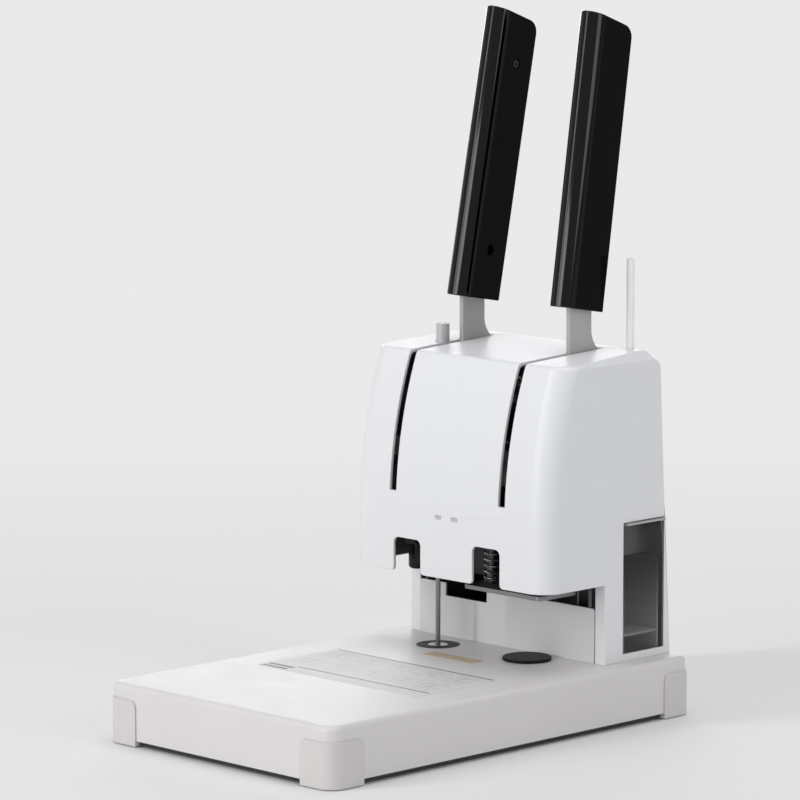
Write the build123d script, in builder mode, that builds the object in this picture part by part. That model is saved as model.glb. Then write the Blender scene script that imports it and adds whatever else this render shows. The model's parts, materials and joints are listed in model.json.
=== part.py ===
from build123d import *
import os
from math import acos, cos, pi, radians, sin, sqrt, tan

os.makedirs("parts", exist_ok=True)

# A desk machine that drills a paper stack with its right lever and rivets it
# with a melted tube with its left lever. Millimetres, +Z up, operator at -Y.
# The origin is the centre of the footprint on the desk.

# General clearances
running_gap = 0.05
seat_gap = 0.3
slip_gap = 0.15
past = 1.0

# Base shell and what it stands on
base_width = 213.4
base_depth = 340.6
base_corner = 10.7
base_edge = 4.0
base_wall = 2.5
wall_bottom = 4.3
table_height = 41.2
foot_reach = 28.0
foot_top = 31.0
foot_proud = 1.2
foot_bottom = 0.6
foot_rounding = 5.0
foot_inset = 15.0
pad_radius = 8.0
pad_height = 2.0
plate_thickness = 2.9
plate_inset = 3.0
bottom_vent_pitch = 9.0
boss_radius = 4.5
boss_inset_x = 15.0
boss_inset_y = 42.0
screw_radius = 1.7
screw_head_radius = 3.3
screw_head_height = 1.9
screw_length = 14.0
screw_seat_gap = 0.2
rib_height = 9.0
rib_thickness = 2.0
cable_hole_depth = 20.0

# Working axes: melting on the left, drilling on the right
axis_spacing = 80.0
axis_y = 72.8
tool_x = axis_spacing / 2

# Table fittings
die_ring_radius = 15.0
die_radius = 7.0
die_rise = 0.2
die_depth = 11.2
die_edge = 0.6
die_cup_depth = 0.8
ring_edge = 0.5
support_size = 34.0
pin_seat_depth = 5.2
drill_pad_radius = 16.7
drill_pad_rise = 2.2
drill_pad_offset = 4.9
pad_spigot_radius = 6.0
pad_spigot_depth = 8.0
label_width = 152.0
label_depth = 76.0
label_y = -26.0
label_thickness = 0.2
label_rounding = 3.0
strip_width = 47.5
strip_depth = 12.2
strip_y = 46.5
strip_rounding = 1.0

# Head and column housing
head_width = 184.2
head_wall = 2.5
head_bottom = 95.8
column_front = 98.8
cover_front = 39.8
bend_height = 136.5
front_radius = 303.0
crest_height = 246.0
crown_rise = 4.2
crown_y = 141.0
back_top_y = 152.4
back_knee_y = 157.6
back_knee_height = 147.4
back_bottom_y = 164.4
side_rounding = 16.0
crest_rounding = 4.0
back_rounding = 7.0
ridge_drop = 5.4
bevel_width = 9.0
rim_width = 9.1
rear_opening_drop = 12.2
notch_inner = 24.6
notch_width = 25.6
melt_notch_height = 23.6
drill_notch_height = 26.0
notch_rounding = 4.0
notch_lip = 3.0
slot_width = 6.2
slot_shift = 0.9
slot_bottom = 151.2
slot_back = 137.0
slot_rounding = 1.5
lens_x = 7.6
lens_height = 137.5
lens_width = 6.0
lens_depth = 2.6
lens_length = 4.5
lens_proud = 0.2

# Internal frame
frame_x = 76.0
frame_thickness = 3.0
frame_front = 68.0
frame_drop = 10.0
plate_gusset = 15.0
plate_foot = 16.0
screw_tab = 12.0
screw_tab_depth = 9.0
bridge_thickness = 4.0
lower_bridge_bottom = 109.5
bridge_front = 89.4
lower_bridge_back = 118.0
upper_bridge_back = 148.0
post_radius = 4.0
post_y = 98.0
inner_post_x = 22.0
outer_post_x = 65.5
fence_front = 98.2
fence_thickness = 1.5
fence_top = 78.9
fence_half = 82.5
fence_cut_left = -57.7
fence_cut_right = -18.2
fence_cut_bottom = 69.8
fence_flange = 8.0
fence_rounding = 2.0
bridge_slot_room = 1.2
bridge_slot_back = 4.0

# Levers
pivot_y = 126.4
pivot_z = 173.0
lever_x = 50.4
lever_thickness = 3.6
lever_travel = 82.0
hub_disc_radius = 17.0
shaft_radius = 5.0
neck_front = 105.6
neck_back = 127.0
neck_flare_y = 134.6
neck_flare_height = 249.0
neck_straight_height = 262.0
neck_top = 286.0
neck_curve = 1.6
neck_curve_rise = 0.6
neck_root = 50.0
neck_flare_length = 30.0
neck_flare_step = 6.0
hub_front_rise = 4.0
hub_back_rise = 6.0
hub_front_inset = 0.5
hub_back_inset = 1.0
grip_width = 18.8
grip_depth = 38.5
grip_length = 200.0
grip_base_x = 48.8
grip_base_y = 112.8
grip_base_height = 278.0
grip_lean = 9.9
grip_toe_in = 1.36
grip_slant = 7.0
grip_back_rounding = 9.0
tang_width = 16.0
tang_length = 176.0
grip_screw_heights = (34.0, 163.0)
grip_screw_y = 3.0
grip_screw_sink = 5.0
grip_screw_reach = 11.3
collar_width = 2.8
collar_radius = 9.0
shaft_end = 1.5
shaft_chamfer = 0.8

# Toothed sector and rack of each lever
gear_module = 2.5
gear_teeth = 32
pressure_angle = radians(20)
tooth_backlash = 0.5
sector_thickness = 5.0
sector_gap = 1.0
sector_hub_radius = 13.0
sector_hole_radius = 5.0
sector_hole_count = 3
first_tooth = -1
last_tooth = 8

# Carriages
carriage_bottom = 171.0
carriage_thickness = 14.0
carriage_front = 62.0
carriage_bar_back = 79.0
carriage_leg_back = 105.0
boss_wall = 6.5
leg_room = 1.4

# Drill unit
bit_radius = 3.0
bit_bore = 2.2
bit_edge = 0.15
bit_taper = 1.5
spindle_radius = 5.0
spindle_top_radius = 4.0
spindle_bottom = 150.0
spindle_step = 190.0
spindle_bore = 2.5
chuck_radius = 11.0
chuck_height = 20.0
chuck_bottom = 148.0
chuck_chamfer = 3.0
chuck_band = 6.0
chuck_groove_radius = 1.0
chuck_groove_count = 12
bearing_radius = 9.5
bearing_width = 5.0
motor_x = 1.0
motor_y = 93.5
motor_radius = 13.5
motor_bottom = 172.0
motor_flange_height = 2.0
motor_rounding = 1.5
motor_socket = 6.0
motor_shaft_gap = 0.5
motor_seat = 2.0
motor_flange = 1.5
motor_shaft_radius = 2.0
pulley_drop = 10.0
pulley_height = 9.0
pulley_flange = 1.2
pulley_flange_height = 1.0
motor_drop = 4.0
motor_pulley_radius = 5.0
spindle_pulley_radius = 6.3
belt_thickness = 1.1
belt_width = 6.0

# Paper clamp of the drill
clamp_bottom = 89.0
clamp_thickness = 3.0
clamp_half = 36.0
clamp_front = 52.0
clamp_depth = 38.0
clamp_rounding = 4.0
clamp_hole_gap = 0.8
clamp_post_spread = 29.5
clamp_post_radius = 2.5
clamp_boss_wall = 5.5
clamp_head_height = 3.0
clamp_head_rim = 1.9
clamp_rest_gap = 0.8
clamp_spring_radius = 4.4
clamp_spring_wire = 1.2
clamp_spring_turns = 18

# Melting unit
pin_radius = 1.7
pin_top = 187.0
melt_tip_radius = 3.2
melt_die_radius = 5.0
melt_die_top = 121.0
melt_taper = 5.0
pin_chamfer = 0.4
heater_size = 24.0
heater_bottom = 112.0
heater_top = 138.0
heater_stem_radius = 9.0
stem_flange = 3.0
stem_flange_height = 4.0
heater_rounding = 2.0
cartridge_radius = 3.5
cartridge_offset = 7.0
cartridge_height = 132.0
cartridge_end = 106.0
cartridge_rounding = 1.0
cartridge_room = 2.0
buffer_x = 60.5
buffer_radius = 5.8
buffer_bottom = 92.0
buffer_rounding = 2.5
buffer_neck = 1.0
return_spring_radius = 5.5
return_spring_wire = 1.0
return_spring_turns = 11

# Chip drawer in the right side of the column
drawer_front_y = 117.3
drawer_back_y = 157.4
drawer_bottom = 46.8
drawer_top = 136.0
drawer_panel = 2.2
drawer_lip = 2.0
drawer_lip_height = 2.4
bin_inner_x = 48.0
bin_top = 108.0
bin_wall = 1.8
bin_inset = 1.4
runner_width = 4.0
runner_inset = 1.0
bin_room = 3.0
drawer_plate_gap = 2.0
plate_foot_gap = 4.0

# Top fittings
knob_x = -59.6
knob_y = 97.0
knob_radius = 4.7
knob_rise = 14.4
knob_edge = 0.8
knob_sink = 1.0
knob_stem_radius = 3.0
timer_floor = 2.0
timer_height = 7.0
timer_size = 14.0
tube_x = 70.0
tube_y = 146.2
tube_radius = 2.7
tube_bore = 1.75
tube_rise = 65.5
socket_radius = 3.9
socket_length = 19.0
socket_drop = 3.0
socket_floor = 2.0

# Rear fittings
module_x = -42.0
module_height = 64.0
module_width = 47.0
module_tall = 27.0
module_depth = 18.0
module_rim = 1.2
module_rounding = 1.5
inlet_offset = -9.0
inlet_width = 24.0
inlet_tall = 16.5
inlet_well = 15.0
blade_length = 10.0
blade_pitch = 7.0
blade_thickness = 2.0
blade_width = 4.0
switch_offset = 14.5
switch_width = 11.0
switch_tall = 17.0
switch_well = 6.0
axle_radius = 1.0
axle_seat = 0.5
rocker_half_depth = 1.6
rocker_tip_step = 1.8
rocker_low_step = 1.8
rocker_high_step = 0.6
rocker_heel = 2.0
rocker_end_gap = 1.3
rear_screw_height = 124.0
rear_screw_drop = 34.0
rear_screw_x = 71.0
vent_count = 7
vent_width = 3.0
vent_length = 32.0
vent_pitch = 9.0
vent_height = 190.0
board_width = 64.0
board_bottom = 80.0
board_top = 128.0
board_y = 140.0
board_thickness = 1.6
transformer_x = 22.0
transformer_z = 14.0
transformer_width = 26.0
transformer_tall = 22.0
transformer_deep = 18.0
relay_x = 48.0
relay_z = 12.0
relay_width = 14.0
relay_tall = 16.0
relay_deep = 12.0
terminal_x = 46.0
terminal_z = 36.0
terminal_width = 20.0
terminal_tall = 10.0
terminal_deep = 6.0
capacitor_radius = 5.0
capacitor_length = 16.0
capacitor_x = 12.0
capacitor_z = 38.0
capacitor_pitch = 12.0

# Worked out from the sizes above
crown_height = crest_height + crown_rise
ridge_height = crown_height - ridge_drop
rear_opening_top = crown_height - rear_opening_drop
frame_top = crest_height - frame_drop
upper_bridge_bottom = frame_top - bridge_thickness
pulley_bottom = upper_bridge_bottom - pulley_drop
motor_top = pulley_bottom - motor_drop
knob_top = crest_height + knob_rise
tube_top = crest_height + tube_rise
socket_top = crest_height - socket_drop
socket_bottom = socket_top - socket_length
tube_bottom = socket_bottom + socket_floor + seat_gap
rear_screw_heights = (rear_screw_height, crest_height - rear_screw_drop)
clamp_back = clamp_front + clamp_depth
table_under = table_height - base_wall
sunk_head = plate_thickness / 2
pitch_radius = gear_module * gear_teeth / 2
tooth_pitch = pi * gear_module
stroke = pitch_radius * radians(lever_travel)
pad_top = table_height + drill_pad_rise
die_top = table_height + die_rise
bit_tip = pad_top + seat_gap + stroke
melt_tip = die_top + seat_gap + stroke
carriage_top = carriage_bottom + carriage_thickness
lower_bridge_top = lower_bridge_bottom + bridge_thickness
upper_bridge_top = upper_bridge_bottom + bridge_thickness
clamp_top = clamp_bottom + clamp_thickness
clamp_drop = clamp_bottom - pad_top - clamp_rest_gap
sector_inner_x = lever_x + lever_thickness / 2 + sector_gap
sector_outer_x = sector_inner_x + sector_thickness
head_half = head_width / 2
inner_half = head_half - head_wall
window_half = head_half - rim_width
frame_outer = frame_x + frame_thickness
pad_centre_y = axis_y + drill_pad_offset
bin_front = drawer_front_y + bin_inset
bin_back = drawer_back_y - 2 * bin_inset
print(f"stroke {stroke:.3f} mm, clamp drop {clamp_drop:.3f} mm")


def block(x0, x1, y0, y1, z0, z1, mode=Mode.ADD):
    """A box between two corners, in the part being built."""
    with Locations(((x0 + x1) / 2, (y0 + y1) / 2, (z0 + z1) / 2)):
        Box(abs(x1 - x0), y1 - y0, z1 - z0, mode=mode)


def upright(x, y, radius, z0, z1, mode=Mode.ADD):
    """A cylinder along Z, in the part being built."""
    with Locations((x, y, z0)):
        Cylinder(radius, z1 - z0, align=(Align.CENTER, Align.CENTER, Align.MIN), mode=mode)


def crossways(y, z, radius, x0, x1, mode=Mode.ADD):
    """A cylinder along X, in the part being built."""
    with Locations(Location((min(x0, x1), y, z), (0, 90, 0))):
        Cylinder(radius, abs(x1 - x0), align=(Align.CENTER, Align.CENTER, Align.MIN), mode=mode)


def lengthways(x, z, radius, y0, y1, mode=Mode.ADD):
    """A cylinder along Y, in the part being built."""
    with Locations(Location((x, y0, z), (-90, 0, 0))):
        Cylinder(radius, y1 - y0, align=(Align.CENTER, Align.CENTER, Align.MIN), mode=mode)


def side_prism(points, x0, x1, mode=Mode.ADD):
    """A prism along X with an outline of (y, z) corners."""
    with BuildSketch(Plane.YZ.offset(min(x0, x1))) as outline:
        Polygon(*points, align=None)
    extrude(outline.sketch, amount=abs(x1 - x0), mode=mode)


def top_height(y):
    """Height of the head's top surface above the table side at depth y."""
    crest_y = crest_depth()
    return crest_height + (y - crest_y) * (crown_height - crest_height) / (crown_y - crest_y)


def crest_depth():
    """Depth at which the curved front meets the top."""
    rise = crest_height - bend_height
    return cover_front + front_radius - sqrt(front_radius**2 - rise**2)


def back_depth(z):
    """Depth of the housing's rear face at height z."""
    if z > back_knee_height:
        share = (z - back_knee_height) / (crown_height - back_knee_height)
        return back_knee_y + (back_top_y - back_knee_y) * share
    share = (z - table_height) / (back_knee_height - table_height)
    return back_bottom_y + (back_knee_y - back_bottom_y) * share


def biarc(start, start_way, end, end_way):
    """Two arcs from one point and direction to another, in the line being built."""
    across = end - start
    ways = start_way + end_way
    turn = 1 - start_way.dot(end_way)
    along = across.dot(ways)
    if turn < 1e-9:
        reach = across.dot(across) / (2 * along)
    else:
        reach = (sqrt(along**2 + 2 * turn * across.dot(across)) - along) / (2 * turn)
    middle = (start + end + (start_way - end_way) * reach) * 0.5
    middle_way = (end - end_way * reach) - (start + start_way * reach)
    TangentArc(start, middle, tangent=start_way)
    TangentArc(middle, end, tangent=middle_way)


def coil_solid(radius, wire, turns, length):
    """A coil spring on the Z axis from height 0, as one tube with straight square ends."""
    climb = 1.1 * radius
    steps = 4 * turns
    helix_length = length - 2 * (wire + climb)
    rise = helix_length / steps
    slope = rise / (radius * pi / 2)
    with BuildPart() as coil:
        with BuildLine() as path:
            places = [Vector(0, -radius, wire)]
            ways = [Vector(0, 0, 1)]
            for i in range(steps + 1):
                turn_angle = i * pi / 2
                places.append(
                    Vector(radius * cos(turn_angle), radius * sin(turn_angle), wire + climb + i * rise)
                )
                ways.append(Vector(-sin(turn_angle), cos(turn_angle), slope).normalized())
            last = (steps + 1) * pi / 2
            places.append(Vector(radius * cos(last), radius * sin(last), length - wire))
            ways.append(Vector(0, 0, 1))
            Line(places[0] - Vector(0, 0, wire), places[0])
            for start, start_way, end, end_way in zip(places, ways, places[1:], ways[1:]):
                biarc(start, start_way, end, end_way)
            Line(places[-1], places[-1] + Vector(0, 0, wire))
        with BuildSketch(Plane(origin=places[0] - Vector(0, 0, wire), z_dir=(0, 0, 1))):
            Circle(wire / 2)
        sweep(path=path.wires()[0])
    count = 24 * (turns + 2)
    points = [path.wires()[0].position_at(i / count) for i in range(count + 1)]
    apart = min(
        (points[j] - points[i]).length
        for i in range(count + 1)
        for j in range(i + 12, count + 1)
    )
    print(f"coil of wire {wire}: least gap to itself {apart - wire:.2f} mm")
    return coil.part


def flank_angle(radius):
    """Half of a tooth's angle at a radius, on involute flanks."""
    base_radius = pitch_radius * cos(pressure_angle)
    here = acos(min(1.0, base_radius / radius))
    half_tooth = (tooth_pitch / 2 - tooth_backlash / 2) / (2 * pitch_radius)
    return half_tooth + tan(pressure_angle) - pressure_angle - tan(here) + here


def tooth_corner(radius, angle):
    """Point at a radius and an angle from the middle of the tooth."""
    return (radius * cos(angle), radius * sin(angle))


def housing_block(inset):
    """The closed outer form of head and column, drawn in by inset on every side."""
    half = head_half - inset
    crest_y = crest_depth()
    bend_end = (crest_y, crest_height)
    with BuildPart() as form:
        with BuildSketch(Plane.YZ) as outline:
            with BuildLine():
                Line((cover_front, head_bottom), (cover_front, bend_height))
                TangentArc((cover_front, bend_height), bend_end, tangent=(0, 1))
                Line(bend_end, (crown_y, crown_height))
                Polyline(
                    (crown_y, crown_height),
                    (back_top_y, crown_height),
                    (back_knee_y, back_knee_height),
                    (back_bottom_y, table_height),
                    (column_front, table_height),
                    (column_front, head_bottom),
                    (cover_front, head_bottom),
                )
            make_face()
            if inset:
                offset(amount=-inset, kind=Kind.INTERSECTION)
        extrude(amount=half, both=True)
        sides = form.edges().filter_by(lambda e: abs(abs(e.center().X) - half) < 0.01)
        front = sides.filter_by(lambda e: e.center().Y < crest_y and e.center().Z < crest_height)
        front = front.filter_by(lambda e: e.bounding_box().size.Z > 20)
        fillet(front, side_rounding - inset)
        crest = form.edges().filter_by(Axis.X).filter_by(
            lambda e: abs(e.center().Z - crest_height) < 2 * inset + past and e.center().Y < column_front
        )
        fillet(crest, crest_rounding)
        for side in (-1, 1):
            with BuildSketch(Plane.XZ.offset(-back_bottom_y - bevel_width)):
                with BuildLine():
                    Polyline(
                        (side * half, ridge_height - inset),
                        (side * (half + bevel_width), ridge_height - inset),
                        (side * (half + bevel_width), crown_height + bevel_width),
                        (side * (half - bevel_width), crown_height + bevel_width),
                        (side * (half - bevel_width), crown_height - inset),
                        close=True,
                    )
                make_face()
            extrude(amount=back_bottom_y + 2 * bevel_width, mode=Mode.SUBTRACT)
        back_edges = form.edges().filter_by(
            lambda e: e.center().Z > ridge_height - inset and e.center().Y > back_top_y - inset - past
        )
        fillet(back_edges, back_rounding - inset)
    return form.part


# Base shell with the flat table on top
with BuildPart() as base_cover:
    with BuildSketch(Plane.XY.offset(wall_bottom)):
        RectangleRounded(base_width, base_depth, base_corner)
    extrude(amount=table_height - wall_bottom)
    fillet(base_cover.faces().sort_by(Axis.Z)[-1].edges(), base_edge)
    with BuildSketch(Plane.XY.offset(wall_bottom)):
        RectangleRounded(base_width - 2 * base_wall, base_depth - 2 * base_wall, base_corner - base_wall)
    extrude(amount=table_under - wall_bottom, mode=Mode.SUBTRACT)
    boss_x = base_width / 2 - boss_inset_x
    boss_y = base_depth / 2 - boss_inset_y
    with BuildSketch(Plane.XY.offset(wall_bottom)):
        with GridLocations(2 * boss_x, boss_y, 2, 3):
            Circle(boss_radius)
    extrude(amount=table_under - wall_bottom + base_wall / 2)
    with BuildSketch(Plane.XY.offset(table_under - rib_height)):
        with Locations((0, -boss_y), (0, 0)):
            Rectangle(base_width - base_wall, rib_thickness)
        with Locations((-tool_x, -boss_y / 2), (tool_x, -boss_y / 2)):
            Rectangle(rib_thickness, boss_y)
    extrude(amount=rib_height + base_wall / 2)
    with BuildSketch(Plane.XY.offset(wall_bottom)):
        with GridLocations(2 * boss_x, boss_y, 2, 3):
            Circle(screw_radius)
    extrude(amount=screw_length, mode=Mode.SUBTRACT)
    upright(-tool_x, axis_y, die_ring_radius + seat_gap, wall_bottom, table_height, Mode.SUBTRACT)
    upright(tool_x, pad_centre_y, pad_spigot_radius + seat_gap, wall_bottom, table_height, Mode.SUBTRACT)
    leg_front = fence_front + fence_thickness - seat_gap
    for side in (-1, 1):
        block(side * (frame_x - seat_gap), side * (frame_outer + seat_gap),
              leg_front, pivot_y + seat_gap, table_under, table_height, Mode.SUBTRACT)
    block(-tool_x, 0, pivot_y - cable_hole_depth / 2, pivot_y + cable_hole_depth / 2,
          table_under, table_height, Mode.SUBTRACT)
    for runner_y in (bin_front, bin_back - runner_width):
        block(bin_inner_x + runner_inset, inner_half - runner_inset, runner_y, runner_y + runner_width,
              table_height - base_wall / 2, drawer_bottom - seat_gap)
base_cover.part.label = "base_cover"
export_step(base_cover.part, "parts/base_cover.step")

# Steel bottom plate, notched at the four feet
plate_bottom = wall_bottom - plate_thickness
with BuildPart() as base_plate:
    with BuildSketch(Plane.XY.offset(plate_bottom)):
        Rectangle(base_width - 2 * plate_inset, base_depth - 2 * plate_inset)
        with GridLocations(base_width, base_depth, 2, 2):
            Rectangle(2 * (foot_reach + seat_gap), 2 * (foot_reach + seat_gap), mode=Mode.SUBTRACT)
    extrude(amount=plate_thickness)
    with Locations(Plane.XY.offset(plate_bottom).rotated((180, 0, 0))):
        with GridLocations(2 * boss_x, boss_y, 2, 3):
            CounterBoreHole(screw_radius + slip_gap, screw_head_radius + slip_gap, sunk_head)
    with BuildSketch(Plane.XY.offset(plate_bottom)):
        with GridLocations(bottom_vent_pitch, 1, vent_count, 1):
            with Locations((0, -boss_y / 2)):
                SlotOverall(vent_length, vent_width, rotation=90)
    extrude(amount=plate_thickness, mode=Mode.SUBTRACT)
base_plate.part.label = "base_plate"
export_step(base_plate.part, "parts/base_plate.step")

with BuildPart() as housing_screws:
    with BuildSketch(Plane.XY.offset(plate_bottom)):
        with GridLocations(2 * boss_x, boss_y, 2, 3):
            Circle(screw_head_radius)
    extrude(amount=sunk_head)
    with BuildSketch(Plane.XY.offset(plate_bottom)):
        with GridLocations(2 * boss_x, boss_y, 2, 3):
            Circle(screw_radius)
    extrude(amount=screw_length)
    for height in rear_screw_heights:
        for side in (-1, 1):
            seat = back_depth(height)
            lengthways(side * rear_screw_x, height, screw_radius, seat - screw_length, seat + screw_seat_gap)
            lengthways(side * rear_screw_x, height, screw_head_radius, seat + screw_seat_gap,
                       seat + screw_head_height)
housing_screws.part.label = "housing_screws"
export_step(housing_screws.part, "parts/housing_screws.step")

# Corner feet that wrap the shell, each with a floor under the wall
with BuildPart() as corner_feet:
    with BuildSketch(Plane.XY.offset(foot_bottom)):
        RectangleRounded(base_width + 2 * foot_proud, base_depth + 2 * foot_proud, base_corner + foot_proud)
    extrude(amount=foot_top - foot_bottom)
    with BuildSketch(Plane.XY.offset(wall_bottom)):
        RectangleRounded(base_width, base_depth, base_corner)
    extrude(amount=foot_top, mode=Mode.SUBTRACT)
    with BuildSketch(Plane.XY):
        with GridLocations(base_width, base_depth, 2, 2):
            Rectangle(2 * foot_reach, 2 * foot_reach)
    extrude(amount=foot_top, mode=Mode.INTERSECT)
    tips = corner_feet.edges().filter_by(lambda e: abs(e.center().Z - foot_top) < 0.01)
    fillet(tips.filter_by(lambda e: e.length < foot_proud + running_gap), foot_rounding)
    with BuildSketch(Plane.XY):
        with GridLocations(base_width - 2 * foot_inset, base_depth - 2 * foot_inset, 2, 2):
            Circle(pad_radius)
    extrude(amount=pad_height, mode=Mode.SUBTRACT)
corner_feet.part.label = "corner_feet"
export_step(corner_feet.part, "parts/corner_feet.step")

with BuildPart() as rubber_pads:
    with BuildSketch(Plane.XY):
        with GridLocations(base_width - 2 * foot_inset, base_depth - 2 * foot_inset, 2, 2):
            Circle(pad_radius)
    extrude(amount=pad_height)
rubber_pads.part.label = "rubber_pads"
export_step(rubber_pads.part, "parts/rubber_pads.step")

# Printed sheets on the table
with BuildPart() as instruction_label:
    with BuildSketch(Plane.XY.offset(table_height)):
        with Locations((0, label_y)):
            RectangleRounded(label_width, label_depth, label_rounding)
    extrude(amount=label_thickness)
instruction_label.part.label = "instruction_label"
export_step(instruction_label.part, "parts/instruction_label.step")

with BuildPart() as strip_label:
    with BuildSketch(Plane.XY.offset(table_height)):
        with Locations((0, strip_y)):
            RectangleRounded(strip_width, strip_depth, strip_rounding)
    extrude(amount=label_thickness)
strip_label.part.label = "strip_label"
export_step(strip_label.part, "parts/strip_label.step")

# Lower melting die in its ring, on a block that stands on the bottom plate
die_bottom = die_top - die_depth
ring_bottom = table_height - pin_seat_depth
with BuildPart() as lower_die:
    upright(-tool_x, axis_y, die_radius, die_bottom, die_top)
    fillet(lower_die.edges().group_by(Axis.Z)[-1], die_edge)
    upright(-tool_x, axis_y, pin_radius + running_gap, ring_bottom, die_top, Mode.SUBTRACT)
    with Locations((-tool_x, axis_y, die_top)):
        Cone(pin_radius + running_gap, melt_tip_radius, die_cup_depth,
             align=(Align.CENTER, Align.CENTER, Align.MAX), mode=Mode.SUBTRACT)
lower_die.part.label = "lower_die"
export_step(lower_die.part, "parts/lower_die.step")

with BuildPart() as die_ring:
    upright(-tool_x, axis_y, die_ring_radius, ring_bottom, table_height + die_rise / 2)
    fillet(die_ring.edges().group_by(Axis.Z)[-1], ring_edge)
    upright(-tool_x, axis_y, die_radius, ring_bottom, die_top, Mode.SUBTRACT)
die_ring.part.label = "die_ring"
export_step(die_ring.part, "parts/die_ring.step")

# Turning pad under the drill
with BuildPart() as drill_pad:
    upright(tool_x, pad_centre_y, drill_pad_radius, table_height + seat_gap, pad_top)
    fillet(drill_pad.edges().group_by(Axis.Z)[-1], die_edge)
    upright(tool_x, pad_centre_y, pad_spigot_radius, table_height - pad_spigot_depth, table_height + seat_gap)
drill_pad.part.label = "drill_pad"
export_step(drill_pad.part, "parts/drill_pad.step")

# Blocks on the bottom plate that take the load of die and pad
with BuildPart() as support_blocks:
    half_block = support_size / 2
    for x, y, top in ((-tool_x, axis_y, ring_bottom), (tool_x, pad_centre_y, table_under)):
        block(x - half_block, x + half_block, y - half_block, y + half_block, wall_bottom, top)
    upright(-tool_x, axis_y, die_radius, die_bottom, ring_bottom, Mode.SUBTRACT)
    upright(tool_x, pad_centre_y, pad_spigot_radius + running_gap,
            table_height - pad_spigot_depth - seat_gap, table_under, Mode.SUBTRACT)
support_blocks.part.label = "support_blocks"
export_step(support_blocks.part, "parts/support_blocks.step")

# White housing: curved front, top and both sides of head and column in one shell
housing_outer = housing_block(0)
housing_inner = housing_block(head_wall)
drawer_opening_top = drawer_top + seat_gap
with BuildPart() as front_cover:
    add(housing_outer)
    add(housing_inner, mode=Mode.SUBTRACT)
    block(-inner_half, inner_half, cover_front + side_rounding, column_front + head_wall,
          head_bottom, head_bottom + head_wall, Mode.SUBTRACT)
    with BuildSketch(Plane.XY.offset(head_bottom)):
        with Locations((0, cover_front + head_wall)):
            RectangleRounded(2 * inner_half, 3 * side_rounding, side_rounding - head_wall,
                             align=(Align.CENTER, Align.MIN))
    extrude(amount=head_wall, mode=Mode.SUBTRACT)
    block(-window_half, window_half, column_front, column_front + head_wall,
          table_height, head_bottom, Mode.SUBTRACT)
    block(-inner_half, inner_half, column_front + head_wall, back_bottom_y,
          table_height, table_height + head_wall, Mode.SUBTRACT)
    block(-inner_half, inner_half, crown_y, back_bottom_y + past,
          table_height, rear_opening_top, Mode.SUBTRACT)
    for side, notch_height in ((-1, melt_notch_height), (1, drill_notch_height)):
        notch_x = side * (notch_inner + notch_width / 2)
        with BuildSketch(Plane.XZ.offset(-cover_front - 2 * head_wall)):
            with Locations((notch_x, head_bottom)):
                RectangleRounded(notch_width, 2 * notch_height, notch_rounding)
        extrude(amount=3 * head_wall, mode=Mode.SUBTRACT)
        notch_corners = front_cover.edges().filter_by(Axis.Y).filter_by(
            lambda e: e.center().Y < cover_front + head_wall and abs(e.center().Z - head_bottom) < seat_gap
            and abs(abs(e.center().X - notch_x) - notch_width / 2) < seat_gap
        )
        fillet(notch_corners, notch_lip)
        with BuildSketch(Plane.XY.offset(slot_bottom)):
            with Locations((side * (lever_x + slot_shift), (cover_front + slot_back - head_wall) / 2)):
                RectangleRounded(slot_width, slot_back - cover_front + head_wall, slot_rounding)
        extrude(amount=crown_height, mode=Mode.SUBTRACT)
        lens_centre = side * lens_x
        with BuildSketch(Plane.XZ.offset(-cover_front - 2 * head_wall)):
            with Locations((lens_centre, lens_height)):
                SlotOverall(lens_width, lens_depth)
        extrude(amount=3 * head_wall, mode=Mode.SUBTRACT)
    block(inner_half - past, head_half + past, drawer_front_y - seat_gap, drawer_back_y + seat_gap,
          drawer_bottom - seat_gap, drawer_opening_top, Mode.SUBTRACT)
    upright(knob_x, knob_y, knob_radius + seat_gap, frame_top, knob_top, Mode.SUBTRACT)
    upright(tube_x, tube_y, tube_radius + seat_gap, frame_top, tube_top, Mode.SUBTRACT)
front_cover.part.label = "front_cover"
export_step(front_cover.part, "parts/front_cover.step")

with BuildPart() as indicator_lenses:
    for side in (-1, 1):
        lens_centre = side * lens_x
        with BuildSketch(Plane.XZ.offset(-cover_front - lens_length)):
            with Locations((lens_centre, lens_height)):
                SlotOverall(lens_width, lens_depth)
        extrude(amount=lens_length + lens_proud)
indicator_lenses.part.label = "indicator_lenses"
export_step(indicator_lenses.part, "parts/indicator_lenses.step")

# Rear panel between the side walls, with inlet, switch and vents
panel_half = inner_half - seat_gap
panel_bottom = table_height + seat_gap
panel_top = rear_opening_top - seat_gap
with BuildPart() as rear_cover:
    side_prism(
        (
            (back_depth(panel_bottom), panel_bottom),
            (back_knee_y, back_knee_height),
            (back_depth(panel_top), panel_top),
            (back_depth(panel_top) - head_wall, panel_top),
            (back_knee_y - head_wall, back_knee_height),
            (back_depth(panel_bottom) - head_wall, panel_bottom),
        ),
        -panel_half,
        panel_half,
    )
    block(module_x - module_width / 2, module_x + module_width / 2, crown_y, back_bottom_y,
          module_height - module_tall / 2, module_height + module_tall / 2, Mode.SUBTRACT)
    with BuildSketch(Plane.XZ.offset(-crown_y)):
        with GridLocations(vent_pitch, 1, vent_count, 1):
            with Locations((0, vent_height)):
                SlotOverall(vent_length, vent_width, rotation=90)
    extrude(amount=crown_y - back_bottom_y, mode=Mode.SUBTRACT)
    for height in rear_screw_heights:
        for side in (-1, 1):
            lengthways(side * rear_screw_x, height, screw_radius + slip_gap, crown_y, back_bottom_y,
                       Mode.SUBTRACT)
rear_cover.part.label = "rear_cover"
export_step(rear_cover.part, "parts/rear_cover.step")

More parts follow.
